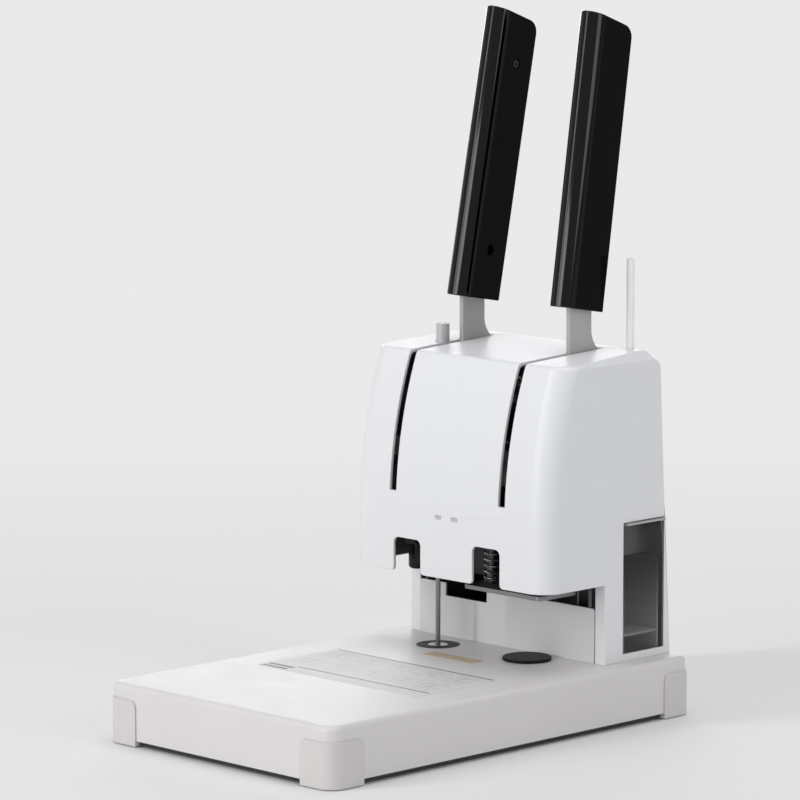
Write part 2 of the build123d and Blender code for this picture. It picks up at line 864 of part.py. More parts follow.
# Mains inlet and switch in one module, with the rocker on its axle
module_face = back_depth(module_height - module_tall / 2) + module_rim / 2
inlet_x = module_x + inlet_offset
switch_x = module_x + switch_offset
axle_y = module_face - 2 * axle_radius
with BuildPart() as power_module:
    block(module_x - module_width / 2, module_x + module_width / 2, module_face - module_depth, module_face,
          module_height - module_tall / 2, module_height + module_tall / 2)
    fillet(power_module.edges().filter_by(Axis.Y), module_rounding)
    block(inlet_x - inlet_width / 2, inlet_x + inlet_width / 2, module_face - inlet_well, module_face,
          module_height - inlet_tall / 2, module_height + inlet_tall / 2, Mode.SUBTRACT)
    for blade in (-1, 0, 1):
        blade_x = inlet_x + blade * blade_pitch
        block(blade_x - blade_thickness / 2, blade_x + blade_thickness / 2,
              module_face - inlet_well, module_face - inlet_well + blade_length,
              module_height - blade_width / 2, module_height + blade_width / 2)
    block(switch_x - switch_width / 2, switch_x + switch_width / 2, module_face - switch_well, module_face,
          module_height - switch_tall / 2, module_height + switch_tall / 2, Mode.SUBTRACT)
    crossways(axle_y, module_height, axle_radius, switch_x - switch_width / 2 - axle_seat,
              switch_x + switch_width / 2 + axle_seat)
power_module.part.label = "power_module"
export_step(power_module.part, "parts/power_module.step")

rocker_half = switch_width / 2 - seat_gap
rocker_reach = switch_tall / 2 - rocker_end_gap
rocker_face = axle_y + rocker_half_depth
rocker_rear = axle_y - rocker_half_depth
with BuildPart() as switch_rocker:
    side_prism(
        (
            (rocker_rear, module_height - rocker_heel),
            (rocker_rear + rocker_low_step, module_height - rocker_reach),
            (rocker_face + rocker_tip_step, module_height - rocker_reach),
            (rocker_face, module_height),
            (rocker_face, module_height + rocker_reach),
            (rocker_rear + rocker_high_step, module_height + rocker_reach),
            (rocker_rear, module_height + rocker_heel),
        ),
        switch_x - rocker_half,
        switch_x + rocker_half,
    )
    crossways(axle_y, module_height, axle_radius + running_gap, switch_x - switch_width,
              switch_x + switch_width, Mode.SUBTRACT)
switch_rocker.part.label = "switch_rocker"
export_step(switch_rocker.part, "parts/switch_rocker.step")

# Paper fence across the column, cut away behind the melting unit
with BuildPart() as fence:
    block(-fence_half, fence_half, fence_front, fence_front + fence_thickness, table_height, fence_top)
    block(fence_cut_left, fence_cut_right, fence_front, fence_front + fence_thickness,
          fence_cut_bottom, fence_top, Mode.SUBTRACT)
    block(fence_cut_right, fence_cut_right + fence_thickness, fence_front + fence_thickness,
          fence_front + fence_thickness + fence_flange, fence_cut_bottom, fence_top)
    fence_corners = fence.edges().filter_by(Axis.Y).filter_by(lambda e: abs(e.center().X) > fence_half - past)
    fillet(fence_corners.group_by(Axis.Z)[-1], fence_rounding)
fence.part.label = "fence"
export_step(fence.part, "parts/fence.step")

# Side plates of the frame, standing on the bottom plate
plate_rear_gap = head_wall + seat_gap
column_leg_front = fence_front + fence_thickness
plate_step = table_height + head_wall
for name, side in (("left", -1), ("right", 1)):
    with BuildPart() as frame_plate:
        side_prism(
            (
                (column_leg_front, wall_bottom),
                (column_leg_front, lower_bridge_bottom),
                (frame_front, lower_bridge_bottom + plate_gusset),
                (frame_front, frame_top),
                (back_depth(frame_top) - plate_rear_gap, frame_top),
                (back_knee_y - plate_rear_gap, back_knee_height),
                (back_depth(plate_step) - plate_rear_gap, plate_step),
                (pivot_y, plate_step),
                (pivot_y, wall_bottom),
            ),
            side * frame_x,
            side * frame_outer,
        )
        if side > 0:
            block(frame_x, frame_outer, drawer_front_y - drawer_plate_gap, back_bottom_y,
                  wall_bottom, bin_top + bin_room, Mode.SUBTRACT)
        block(side * (frame_x - plate_foot), side * frame_x, column_leg_front + drawer_plate_gap,
              drawer_front_y - plate_foot_gap, wall_bottom, wall_bottom + frame_thickness)
        for height in rear_screw_heights:
            rear = back_depth(height + screw_tab / 2) - plate_rear_gap
            block(side * (rear_screw_x - screw_tab / 2), side * frame_x, rear - screw_tab_depth, rear,
                  height - screw_tab / 2, height + screw_tab / 2)
            lengthways(side * rear_screw_x, height, screw_radius, pivot_y, back_bottom_y, Mode.SUBTRACT)
        crossways(pivot_y, pivot_z, shaft_radius, side * frame_x, side * frame_outer, Mode.SUBTRACT)
    frame_plate.part.label = f"frame_plate_{name}"
    export_step(frame_plate.part, f"parts/frame_plate_{name}.step")

# Bridges that hold the guide posts
post_places = [(side * x, post_y) for side in (-1, 1) for x in (inner_post_x, outer_post_x)]
cartridge_x = -tool_x - cartridge_offset
with BuildPart() as lower_bridge:
    block(-frame_x, frame_x, bridge_front, lower_bridge_back, lower_bridge_bottom, lower_bridge_top)
    block(-buffer_x - buffer_radius, -buffer_x + buffer_radius, axis_y - buffer_radius,
          axis_y + buffer_radius, lower_bridge_bottom, lower_bridge_top)
    block(-buffer_x - buffer_radius, -sector_outer_x - 2 * seat_gap, axis_y, bridge_front,
          lower_bridge_bottom, lower_bridge_top)
    block(cartridge_x - cartridge_radius - cartridge_room, cartridge_x + cartridge_radius + cartridge_room,
          bridge_front, cartridge_end + cartridge_room, lower_bridge_bottom, lower_bridge_top,
          Mode.SUBTRACT)
    upright(-buffer_x, axis_y, buffer_radius - buffer_neck, lower_bridge_bottom, lower_bridge_top,
            Mode.SUBTRACT)
    for x, y in post_places:
        upright(x, y, post_radius, lower_bridge_bottom, lower_bridge_top, Mode.SUBTRACT)
lower_bridge.part.label = "lower_bridge"
export_step(lower_bridge.part, "parts/lower_bridge.step")

slot_inner = lever_x - lever_thickness / 2 - bridge_slot_room
slot_outer = sector_outer_x + bridge_slot_room
with BuildPart() as upper_bridge:
    block(-frame_x, frame_x, bridge_front, upper_bridge_back, upper_bridge_bottom, upper_bridge_top)
    for side in (-1, 1):
        block(side * slot_inner, side * slot_outer, bridge_front, slot_back + bridge_slot_back,
              upper_bridge_bottom, upper_bridge_top, Mode.SUBTRACT)
    for x, y in post_places:
        upright(x, y, post_radius, upper_bridge_bottom, upper_bridge_top, Mode.SUBTRACT)
    upright(tube_x, tube_y, socket_radius, upper_bridge_bottom, upper_bridge_top, Mode.SUBTRACT)
upper_bridge.part.label = "upper_bridge"
export_step(upper_bridge.part, "parts/upper_bridge.step")

with BuildPart() as guide_posts:
    for x, y in post_places:
        upright(x, y, post_radius, lower_bridge_bottom, upper_bridge_top)
guide_posts.part.label = "guide_posts"
export_step(guide_posts.part, "parts/guide_posts.step")

with BuildPart() as stop_buffer:
    upright(-buffer_x, axis_y, buffer_radius, buffer_bottom, lower_bridge_bottom)
    fillet(stop_buffer.edges().group_by(Axis.Z)[0], buffer_rounding)
    upright(-buffer_x, axis_y, buffer_radius - buffer_neck, lower_bridge_bottom, lower_bridge_top)
stop_buffer.part.label = "stop_buffer"
export_step(stop_buffer.part, "parts/stop_buffer.step")

# Lever shaft and its collars
with BuildPart() as lever_shaft:
    crossways(pivot_y, pivot_z, shaft_radius, -frame_outer - shaft_end, frame_outer + shaft_end)
    chamfer(lever_shaft.edges().filter_by(GeomType.CIRCLE), shaft_chamfer)
lever_shaft.part.label = "lever_shaft"
export_step(lever_shaft.part, "parts/lever_shaft.step")

plate_inner_x = lever_x - lever_thickness / 2
plate_outer_x = lever_x + lever_thickness / 2
with BuildPart() as shaft_collars:
    for side in (-1, 1):
        inner_face = side * (plate_inner_x - seat_gap)
        outer_face = side * (sector_outer_x + seat_gap)
        crossways(pivot_y, pivot_z, collar_radius, inner_face, inner_face - side * collar_width)
        crossways(pivot_y, pivot_z, collar_radius, outer_face, outer_face + side * collar_width)
    crossways(pivot_y, pivot_z, shaft_radius, -frame_x, frame_x, Mode.SUBTRACT)
shaft_collars.part.label = "shaft_collars"
export_step(shaft_collars.part, "parts/shaft_collars.step")


def grip_plane(side):
    """Plane at the grip's foot, square to the leaning grip."""
    return Plane(
        Location((side * grip_base_x, grip_base_y, grip_base_height), (-grip_lean, -side * grip_toe_in, 0))
    )


def lever_parts(side):
    """Steel lever plate with its tang, made for one side."""
    tang_x = side * (lever_x - grip_base_x)
    with BuildPart() as plate:
        with BuildSketch(Plane.YZ.offset(side * lever_x - lever_thickness / 2)):
            with Locations((pivot_y, pivot_z)):
                Circle(hub_disc_radius)
            with BuildLine():
                Polyline(
                    (pivot_y + hub_disc_radius - hub_back_inset, pivot_z + hub_back_rise),
                    (neck_flare_y + neck_flare_step, neck_flare_height - neck_flare_length),
                    (neck_flare_y, neck_flare_height),
                )
                ThreePointArc(
                    (neck_flare_y, neck_flare_height),
                    (neck_back + neck_curve, (neck_flare_height + neck_straight_height) / 2 + neck_curve_rise),
                    (neck_back, neck_straight_height),
                )
                Polyline(
                    (neck_back, neck_straight_height),
                    (neck_back, neck_top),
                    (neck_front, neck_top),
                    (neck_front, neck_flare_height - neck_root),
                    (pivot_y - hub_disc_radius + hub_front_inset, pivot_z + hub_front_rise),
                    (pivot_y + hub_disc_radius - hub_back_inset, pivot_z + hub_back_rise),
                )
            make_face()
        extrude(amount=lever_thickness)
        with BuildSketch(grip_plane(side)):
            with Locations((tang_x, grip_screw_y)):
                Rectangle(lever_thickness, tang_width)
        extrude(amount=tang_length)
        crossways(pivot_y, pivot_z, shaft_radius + running_gap, side * frame_x, 0, Mode.SUBTRACT)
    return plate.part


# Levers: plate, toothed sector, grip and grip screws for each side
for name, side in (("left", -1), ("right", 1)):
    plane = grip_plane(side)
    plate_form = lever_parts(side)
    with BuildPart() as lever_plate:
        add(plate_form)
        for height in grip_screw_heights:
            with Locations(plane.offset(height) * Location((0, grip_screw_y, 0), (0, 90, 0))):
                Cylinder(screw_radius, 2 * grip_width, mode=Mode.SUBTRACT)
    lever_plate.part.label = f"{name}_lever_plate"
    export_step(lever_plate.part, f"parts/{name}_lever_plate.step")

    gear_x = side * sector_outer_x if side > 0 else side * sector_inner_x
    with BuildPart() as sector_gear:
        with BuildSketch(Plane(origin=(gear_x, pivot_y, pivot_z), x_dir=(0, -1, 0), z_dir=(-1, 0, 0))):
            root_radius = pitch_radius - 1.25 * gear_module
            tooth_angle = 360 / gear_teeth
            with BuildLine():
                start_angle = (first_tooth - 0.5) * tooth_angle
                end_angle = (last_tooth + 0.5) * tooth_angle
                CenterArc((0, 0), root_radius, start_angle, end_angle - start_angle)
                Line((0, 0), tooth_corner(root_radius, radians(start_angle)))
                Line((0, 0), tooth_corner(root_radius, radians(end_angle)))
            make_face()
            Circle(sector_hub_radius)
            base_radius = pitch_radius * cos(pressure_angle)
            tip_radius = pitch_radius + gear_module
            flank_low = tooth_corner(base_radius, flank_angle(base_radius))
            flank_mid = tooth_corner(pitch_radius, flank_angle(pitch_radius))
            flank_tip = tooth_corner(tip_radius, flank_angle(tip_radius))
            foot_corner = tooth_corner(root_radius - past, flank_angle(base_radius))
            for tooth in range(first_tooth, last_tooth + 1):
                with Locations(Location((0, 0, 0), (0, 0, tooth * tooth_angle))):
                    with BuildLine():
                        Line(foot_corner, flank_low)
                        ThreePointArc(flank_low, flank_mid, flank_tip)
                        ThreePointArc(flank_tip, (tip_radius, 0), (flank_tip[0], -flank_tip[1]))
                        ThreePointArc(
                            (flank_tip[0], -flank_tip[1]),
                            (flank_mid[0], -flank_mid[1]),
                            (flank_low[0], -flank_low[1]),
                        )
                        Line((flank_low[0], -flank_low[1]), (foot_corner[0], -foot_corner[1]))
                        Line((foot_corner[0], -foot_corner[1]), foot_corner)
                    make_face()
            with PolarLocations((sector_hub_radius + root_radius) / 2, sector_hole_count, start_angle=10,
                                angular_range=50):
                Circle(sector_hole_radius, mode=Mode.SUBTRACT)
        extrude(amount=sector_thickness)
        crossways(pivot_y, pivot_z, sector_hub_radius, side * plate_outer_x, side * sector_inner_x)
        crossways(pivot_y, pivot_z, shaft_radius + running_gap, side * frame_x, 0, Mode.SUBTRACT)
    sector_gear.part.label = f"{name}_sector_gear"
    export_step(sector_gear.part, f"parts/{name}_sector_gear.step")

    with BuildPart() as grip:
        with BuildSketch(plane):
            with Locations((0, -grip_depth / 2 + grip_width / 2)):
                Circle(grip_width / 2)
            with Locations((0, grip_width / 4)):
                Rectangle(grip_width, grip_depth - grip_width / 2)
        extrude(amount=grip_length)
        with BuildSketch(plane * Plane.YZ.offset(-grip_width)):
            Polygon(
                (-grip_depth, grip_length + running_gap),
                (-grip_depth / 2, grip_length),
                (grip_depth / 2 + past, grip_length - grip_slant),
                (grip_depth / 2 + past, grip_length + past),
                align=None,
            )
        extrude(amount=2 * grip_width, mode=Mode.SUBTRACT)
        corner = grip.edges().filter_by(lambda e: abs(plane.to_local_coords(e.center()).X) < 0.1)
        corner = corner.filter_by(lambda e: plane.to_local_coords(e.center()).Y > grip_depth / 2 - 0.1)
        fillet(corner.filter_by(lambda e: plane.to_local_coords(e.center()).Z > 20), grip_back_rounding)
        add(plate_form, mode=Mode.SUBTRACT)
        for height, sink in zip(grip_screw_heights, (grip_screw_sink, screw_head_height)):
            bore_depth = sink + grip_screw_reach + seat_gap
            for depth, radius in ((sink, screw_head_radius + slip_gap), (bore_depth, screw_radius)):
                with Locations(
                    plane * Location((-side * grip_width / 2, grip_screw_y, height), (0, side * 90, 0))
                ):
                    Cylinder(radius, depth, align=(Align.CENTER, Align.CENTER, Align.MIN), mode=Mode.SUBTRACT)
    grip.part.label = f"{name}_grip"
    export_step(grip.part, f"parts/{name}_grip.step")

    with BuildPart() as grip_screws:
        for height, sink in zip(grip_screw_heights, (grip_screw_sink, screw_head_height)):
            head_x = -side * (grip_width / 2 - sink)
            with Locations(plane * Location((head_x, grip_screw_y, height), (0, side * 90, 0))):
                Cylinder(screw_head_radius, screw_head_height,
                         align=(Align.CENTER, Align.CENTER, Align.MAX))
                Cylinder(screw_radius, grip_screw_reach,
                         align=(Align.CENTER, Align.CENTER, Align.MIN))
    grip_screws.part.label = f"{name}_grip_screws"
    export_step(grip_screws.part, f"parts/{name}_grip_screws.step")


def carriage_blank(side, bar_start, bar_end):
    """Front bar and two rear legs of a carriage, in the part being built."""
    block(side * bar_start, side * bar_end, carriage_front, carriage_bar_back, carriage_bottom, carriage_top)
    for x, leg_inner, leg_outer in (
        (inner_post_x, inner_post_x - boss_wall, tool_x),
        (outer_post_x, sector_outer_x + leg_room, outer_post_x + boss_wall),
    ):
        block(side * leg_inner, side * leg_outer, carriage_bar_back - past, carriage_leg_back,
              carriage_bottom, carriage_top)
        upright(side * x, post_y, post_radius + running_gap, carriage_bottom, carriage_top, Mode.SUBTRACT)


def rack_solid(side):
    """Toothed rack that meshes with the sector, standing behind the carriage's bar."""
    rack_bottom = pivot_z - tooth_pitch
    rack_teeth = int((stroke + 2 * tooth_pitch) / tooth_pitch) + 1
    pitch_y = pivot_y - pitch_radius
    root_y = pitch_y - 1.25 * gear_module
    half_pitch_tooth = tooth_pitch / 4 - tooth_backlash / 4
    half_root = half_pitch_tooth + 1.25 * gear_module * tan(pressure_angle)
    half_tip = half_pitch_tooth - gear_module * tan(pressure_angle)
    with BuildPart() as rack:
        block(side * sector_inner_x, side * sector_outer_x, carriage_bar_back, root_y,
              rack_bottom, rack_bottom + rack_teeth * tooth_pitch)
        for tooth in range(rack_teeth):
            middle = rack_bottom + (tooth + 0.5) * tooth_pitch
            side_prism(
                (
                    (root_y - past, middle - half_root),
                    (root_y, middle - half_root),
                    (pitch_y + gear_module, middle - half_tip),
                    (pitch_y + gear_module, middle + half_tip),
                    (root_y, middle + half_root),
                    (root_y - past, middle + half_root),
                ),
                side * sector_inner_x,
                side * sector_outer_x,
            )
    return rack.part


for name, side in (("melt", -1), ("drill", 1)):
    with BuildPart() as rack_piece:
        add(rack_solid(side))
    rack_piece.part.label = f"{name}_rack"
    export_step(rack_piece.part, f"parts/{name}_rack.step")

# Melting unit on the left carriage
with BuildPart() as melt_carriage:
    carriage_blank(-1, inner_post_x - boss_wall, outer_post_x + boss_wall)
    upright(-tool_x, axis_y, pin_radius + slip_gap, carriage_bottom, carriage_top, Mode.SUBTRACT)
melt_carriage.part.label = "melt_carriage"
export_step(melt_carriage.part, "parts/melt_carriage.step")

with BuildPart() as heater_stem:
    upright(-tool_x, axis_y, heater_stem_radius, heater_top, carriage_bottom)
    for flange_bottom in (heater_top, carriage_bottom - stem_flange_height):
        upright(-tool_x, axis_y, heater_stem_radius + stem_flange, flange_bottom,
                flange_bottom + stem_flange_height)
    upright(-tool_x, axis_y, pin_radius + slip_gap, heater_top, carriage_bottom, Mode.SUBTRACT)
heater_stem.part.label = "heater_stem"
export_step(heater_stem.part, "parts/heater_stem.step")

half_heater = heater_size / 2
with BuildPart() as heater_block:
    block(-tool_x - half_heater, -tool_x + half_heater, axis_y - half_heater, axis_y + half_heater,
          heater_bottom, heater_top)
    fillet(heater_block.edges().filter_by(Axis.Z), heater_rounding)
    lengthways(cartridge_x, cartridge_height, cartridge_radius, axis_y - half_heater,
               axis_y + half_heater, Mode.SUBTRACT)
    upright(-tool_x, axis_y, melt_die_radius, heater_bottom, melt_die_top, Mode.SUBTRACT)
    upright(-tool_x, axis_y, pin_radius + slip_gap, heater_bottom, heater_top, Mode.SUBTRACT)
heater_block.part.label = "heater_block"
export_step(heater_block.part, "parts/heater_block.step")

with BuildPart() as heater_cartridge:
    lengthways(cartridge_x, cartridge_height, cartridge_radius, axis_y - half_heater, cartridge_end)
    fillet(heater_cartridge.edges().group_by(Axis.Y)[-1], cartridge_rounding)
heater_cartridge.part.label = "heater_cartridge"
export_step(heater_cartridge.part, "parts/heater_cartridge.step")

with BuildPart() as upper_die:
    with BuildSketch(Plane.XZ.offset(-axis_y)):
        Polygon(
            (-tool_x + pin_radius + running_gap, melt_tip),
            (-tool_x + melt_tip_radius, melt_tip),
            (-tool_x + melt_die_radius, melt_tip + melt_taper),
            (-tool_x + melt_die_radius, melt_die_top),
            (-tool_x + pin_radius + running_gap, melt_die_top),
            align=None,
        )
    revolve(axis=Axis((-tool_x, axis_y, 0), (0, 0, 1)))
upper_die.part.label = "upper_die"
export_step(upper_die.part, "parts/upper_die.step")

with BuildPart() as guide_pin:
    upright(-tool_x, axis_y, pin_radius, ring_bottom + seat_gap, pin_top)
    chamfer(guide_pin.edges().filter_by(GeomType.CIRCLE), pin_chamfer)
guide_pin.part.label = "guide_pin"
export_step(guide_pin.part, "parts/guide_pin.step")

# Drill unit on the right carriage
clamp_posts = (tool_x - clamp_post_spread, tool_x + clamp_post_spread)
with BuildPart() as drill_carriage:
    carriage_blank(1, clamp_posts[0] - clamp_boss_wall, clamp_posts[1] + clamp_boss_wall)
    upright(motor_x, motor_y, motor_radius + motor_seat, carriage_bottom, carriage_top)
    block(motor_x, inner_post_x, motor_y - motor_radius, carriage_leg_back, carriage_bottom, carriage_top)
    upright(motor_x, motor_y, motor_radius, carriage_bottom, carriage_top, Mode.SUBTRACT)
    upright(inner_post_x, post_y, post_radius + running_gap, carriage_bottom, carriage_top, Mode.SUBTRACT)
    upright(tool_x, axis_y, bearing_radius, carriage_bottom, carriage_top, Mode.SUBTRACT)
    for x in clamp_posts:
        upright(x, axis_y, clamp_post_radius + running_gap, carriage_bottom, carriage_top, Mode.SUBTRACT)
drill_carriage.part.label = "drill_carriage"
export_step(drill_carriage.part, "parts/drill_carriage.step")

with BuildPart() as spindle_bearings:
    for bottom in (carriage_bottom, carriage_top - bearing_width):
        upright(tool_x, axis_y, bearing_radius, bottom, bottom + bearing_width)
    upright(tool_x, axis_y, spindle_radius + running_gap, carriage_bottom, carriage_top, Mode.SUBTRACT)
spindle_bearings.part.label = "spindle_bearings"
export_step(spindle_bearings.part, "parts/spindle_bearings.step")

with BuildPart() as drill_motor:
    upright(motor_x, motor_y, motor_radius, motor_bottom, motor_top)
    upright(motor_x, motor_y, motor_radius + motor_flange, carriage_top, carriage_top + motor_flange_height)
    fillet(drill_motor.edges().group_by(Axis.Z)[-1], motor_rounding)
    upright(motor_x, motor_y, motor_shaft_radius + running_gap, motor_top - motor_socket, motor_top,
            Mode.SUBTRACT)
drill_motor.part.label = "drill_motor"
export_step(drill_motor.part, "parts/drill_motor.step")


def flanged_pulley(x, y, radius):
    """A pulley with a low flange above and below the belt, in the part being built."""
    top = pulley_bottom + pulley_height
    upright(x, y, radius, pulley_bottom, top)
    for flange_bottom in (pulley_bottom, top - pulley_flange_height):
        upright(x, y, radius + pulley_flange, flange_bottom, flange_bottom + pulley_flange_height)


with BuildPart() as motor_pulley:
    flanged_pulley(motor_x, motor_y, motor_pulley_radius)
    upright(motor_x, motor_y, motor_shaft_radius, motor_top - motor_socket + motor_shaft_gap, pulley_bottom)
motor_pulley.part.label = "motor_pulley"
export_step(motor_pulley.part, "parts/motor_pulley.step")

with BuildPart() as spindle_pulley:
    flanged_pulley(tool_x, axis_y, spindle_pulley_radius)
    upright(tool_x, axis_y, spindle_top_radius, pulley_bottom, pulley_bottom + pulley_height, Mode.SUBTRACT)
spindle_pulley.part.label = "spindle_pulley"
export_step(spindle_pulley.part, "parts/spindle_pulley.step")

with BuildPart() as drive_belt:
    belt_bottom = pulley_bottom + (pulley_height - belt_width) / 2
    for reach, mode in ((belt_thickness, Mode.ADD), (0.0, Mode.SUBTRACT)):
        with BuildSketch(Plane.XY.offset(belt_bottom)):
            with Locations((motor_x, motor_y)):
                Circle(motor_pulley_radius + running_gap + reach)
            with Locations((tool_x, axis_y)):
                Circle(spindle_pulley_radius + running_gap + reach)
            make_hull()
        extrude(amount=belt_width, mode=mode)
drive_belt.part.label = "drive_belt"
export_step(drive_belt.part, "parts/drive_belt.step")

with BuildPart() as spindle:
    upright(tool_x, axis_y, spindle_radius, spindle_bottom, spindle_step)
    upright(tool_x, axis_y, spindle_top_radius, spindle_step, pulley_bottom + pulley_height)
    upright(tool_x, axis_y, spindle_bore, spindle_bottom, pulley_bottom + pulley_height, Mode.SUBTRACT)
spindle.part.label = "spindle"
export_step(spindle.part, "parts/spindle.step")

with BuildPart() as chuck:
    upright(tool_x, axis_y, chuck_radius, chuck_bottom, chuck_bottom + chuck_height)
    chamfer(chuck.edges().group_by(Axis.Z)[0], chuck_chamfer)
    with BuildSketch(Plane.XY.offset(chuck_bottom)):
        with Locations((tool_x, axis_y)):
            with PolarLocations(chuck_radius, chuck_groove_count):
                Circle(chuck_groove_radius)
    extrude(amount=chuck_height - chuck_band, mode=Mode.SUBTRACT)
    upright(tool_x, axis_y, bit_radius, chuck_bottom, spindle_bottom, Mode.SUBTRACT)
    upright(tool_x, axis_y, spindle_radius, spindle_bottom, chuck_bottom + chuck_height, Mode.SUBTRACT)
chuck.part.label = "chuck"
export_step(chuck.part, "parts/chuck.step")

with BuildPart() as drill_bit:
    with BuildSketch(Plane.XZ.offset(-axis_y)):
        Polygon(
            (tool_x + bit_radius - bit_edge, bit_tip),
            (tool_x + bit_radius, bit_tip + bit_taper),
            (tool_x + bit_radius, spindle_bottom),
            (tool_x + bit_bore, spindle_bottom),
            (tool_x + bit_bore, bit_tip + bit_taper),
            align=None,
        )
    revolve(axis=Axis((tool_x, axis_y, 0), (0, 0, 1)))
drill_bit.part.label = "drill_bit"
export_step(drill_bit.part, "parts/drill_bit.step")

# Spring-loaded clamp plate that rides below the drill carriage
with BuildPart() as press_plate:
    block(tool_x - clamp_half, tool_x + clamp_half, clamp_front, clamp_back, clamp_bottom, clamp_top)
    fillet(press_plate.edges().filter_by(Axis.Z), clamp_rounding)
    upright(tool_x, axis_y, bit_radius + clamp_hole_gap, clamp_bottom, clamp_top, Mode.SUBTRACT)
    for x in clamp_posts:
        upright(x, axis_y, clamp_post_radius, clamp_top, carriage_top + seat_gap)
        upright(x, axis_y, clamp_post_radius + clamp_head_rim, carriage_top + seat_gap,
                carriage_top + seat_gap + clamp_head_height)
press_plate.part.label = "press_plate"
export_step(press_plate.part, "parts/press_plate.step")

clamp_coil = coil_solid(
    clamp_spring_radius, clamp_spring_wire, clamp_spring_turns, carriage_bottom - clamp_top
)
with BuildPart() as press_springs:
    with Locations((clamp_posts[0], axis_y, clamp_top), (clamp_posts[1], axis_y, clamp_top)):
        add(clamp_coil)
press_springs.part.label = "press_springs"
export_step(press_springs.part, "parts/press_springs.step")

return_coil = coil_solid(
    return_spring_radius, return_spring_wire, return_spring_turns, upper_bridge_bottom - carriage_top
)
for name, side in (("melt", -1), ("drill", 1)):
    with BuildPart() as return_spring:
        with Locations((side * inner_post_x, post_y, carriage_top)):
            add(return_coil)
    return_spring.part.label = f"{name}_return_spring"
    export_step(return_spring.part, f"parts/{name}_return_spring.step")

# Chip drawer with a smoked front
with BuildPart() as chip_drawer:
    panel_inner = head_half - drawer_panel
    block(panel_inner, head_half, drawer_front_y, drawer_back_y, drawer_bottom, drawer_top)
    block(head_half, head_half + drawer_lip, drawer_front_y, drawer_back_y,
          drawer_top - drawer_lip_height, drawer_top)
    block(bin_inner_x, panel_inner, bin_front, bin_back, drawer_bottom, bin_top)
    block(bin_inner_x + bin_wall, panel_inner, bin_front + bin_wall, bin_back - bin_wall,
          drawer_bottom + bin_wall, bin_top, Mode.SUBTRACT)
chip_drawer.part.label = "chip_drawer"
export_step(chip_drawer.part, "parts/chip_drawer.step")

# Time dial on the top left, and the supply tube in its socket at the rear right
with BuildPart() as timer_unit:
    half_timer = timer_size / 2
    block(knob_x - half_timer, knob_x + half_timer, knob_y - half_timer, knob_y + half_timer,
          upper_bridge_top, upper_bridge_top + timer_height)
    upright(knob_x, knob_y, knob_stem_radius + running_gap, upper_bridge_top + timer_floor,
            upper_bridge_top + timer_height, Mode.SUBTRACT)
timer_unit.part.label = "timer_unit"
export_step(timer_unit.part, "parts/timer_unit.step")

with BuildPart() as time_knob:
    knob_bottom = top_height(knob_y) - knob_sink
    upright(knob_x, knob_y, knob_radius, knob_bottom, knob_top)
    fillet(time_knob.edges().group_by(Axis.Z)[-1], knob_edge)
    upright(knob_x, knob_y, knob_stem_radius, upper_bridge_top + timer_floor + seat_gap, knob_bottom)
time_knob.part.label = "time_knob"
export_step(time_knob.part, "parts/time_knob.step")

with BuildPart() as tube_socket:
    upright(tube_x, tube_y, socket_radius, socket_bottom, socket_top)
    upright(tube_x, tube_y, tube_radius + running_gap, socket_bottom + socket_floor, socket_top, Mode.SUBTRACT)
tube_socket.part.label = "tube_socket"
export_step(tube_socket.part, "parts/tube_socket.step")

with BuildPart() as rivet_tube:
    upright(tube_x, tube_y, tube_radius, tube_bottom, tube_top)
    upright(tube_x, tube_y, tube_bore, tube_bottom, tube_top, Mode.SUBTRACT)
rivet_tube.part.label = "rivet_tube"
export_step(rivet_tube.part, "parts/rivet_tube.step")

# Control board on the left frame plate
with BuildPart() as control_board:
    board_left = -frame_x
    block(board_left, board_left + board_width, board_y, board_y + board_thickness, board_bottom, board_top)
    for offset_x, offset_z, wide, tall, deep in (
        (transformer_x, transformer_z, transformer_width, transformer_tall, transformer_deep),
        (relay_x, relay_z, relay_width, relay_tall, relay_deep),
        (terminal_x, terminal_z, terminal_width, terminal_tall, terminal_deep),
    ):
        block(board_left + offset_x - wide / 2, board_left + offset_x + wide / 2, board_y - deep, board_y,
              board_bottom + offset_z - tall / 2, board_bottom + offset_z + tall / 2)
    for offset_x in (capacitor_x, capacitor_x + capacitor_pitch):
        lengthways(board_left + offset_x, board_bottom + capacitor_z, capacitor_radius,
                   board_y - capacitor_length, board_y)
control_board.part.label = "control_board"
export_step(control_board.part, "parts/control_board.step")
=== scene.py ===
import bmesh
import bpy
import json
import math
from mathutils import Matrix, Vector
from mathutils.bvhtree import BVHTree

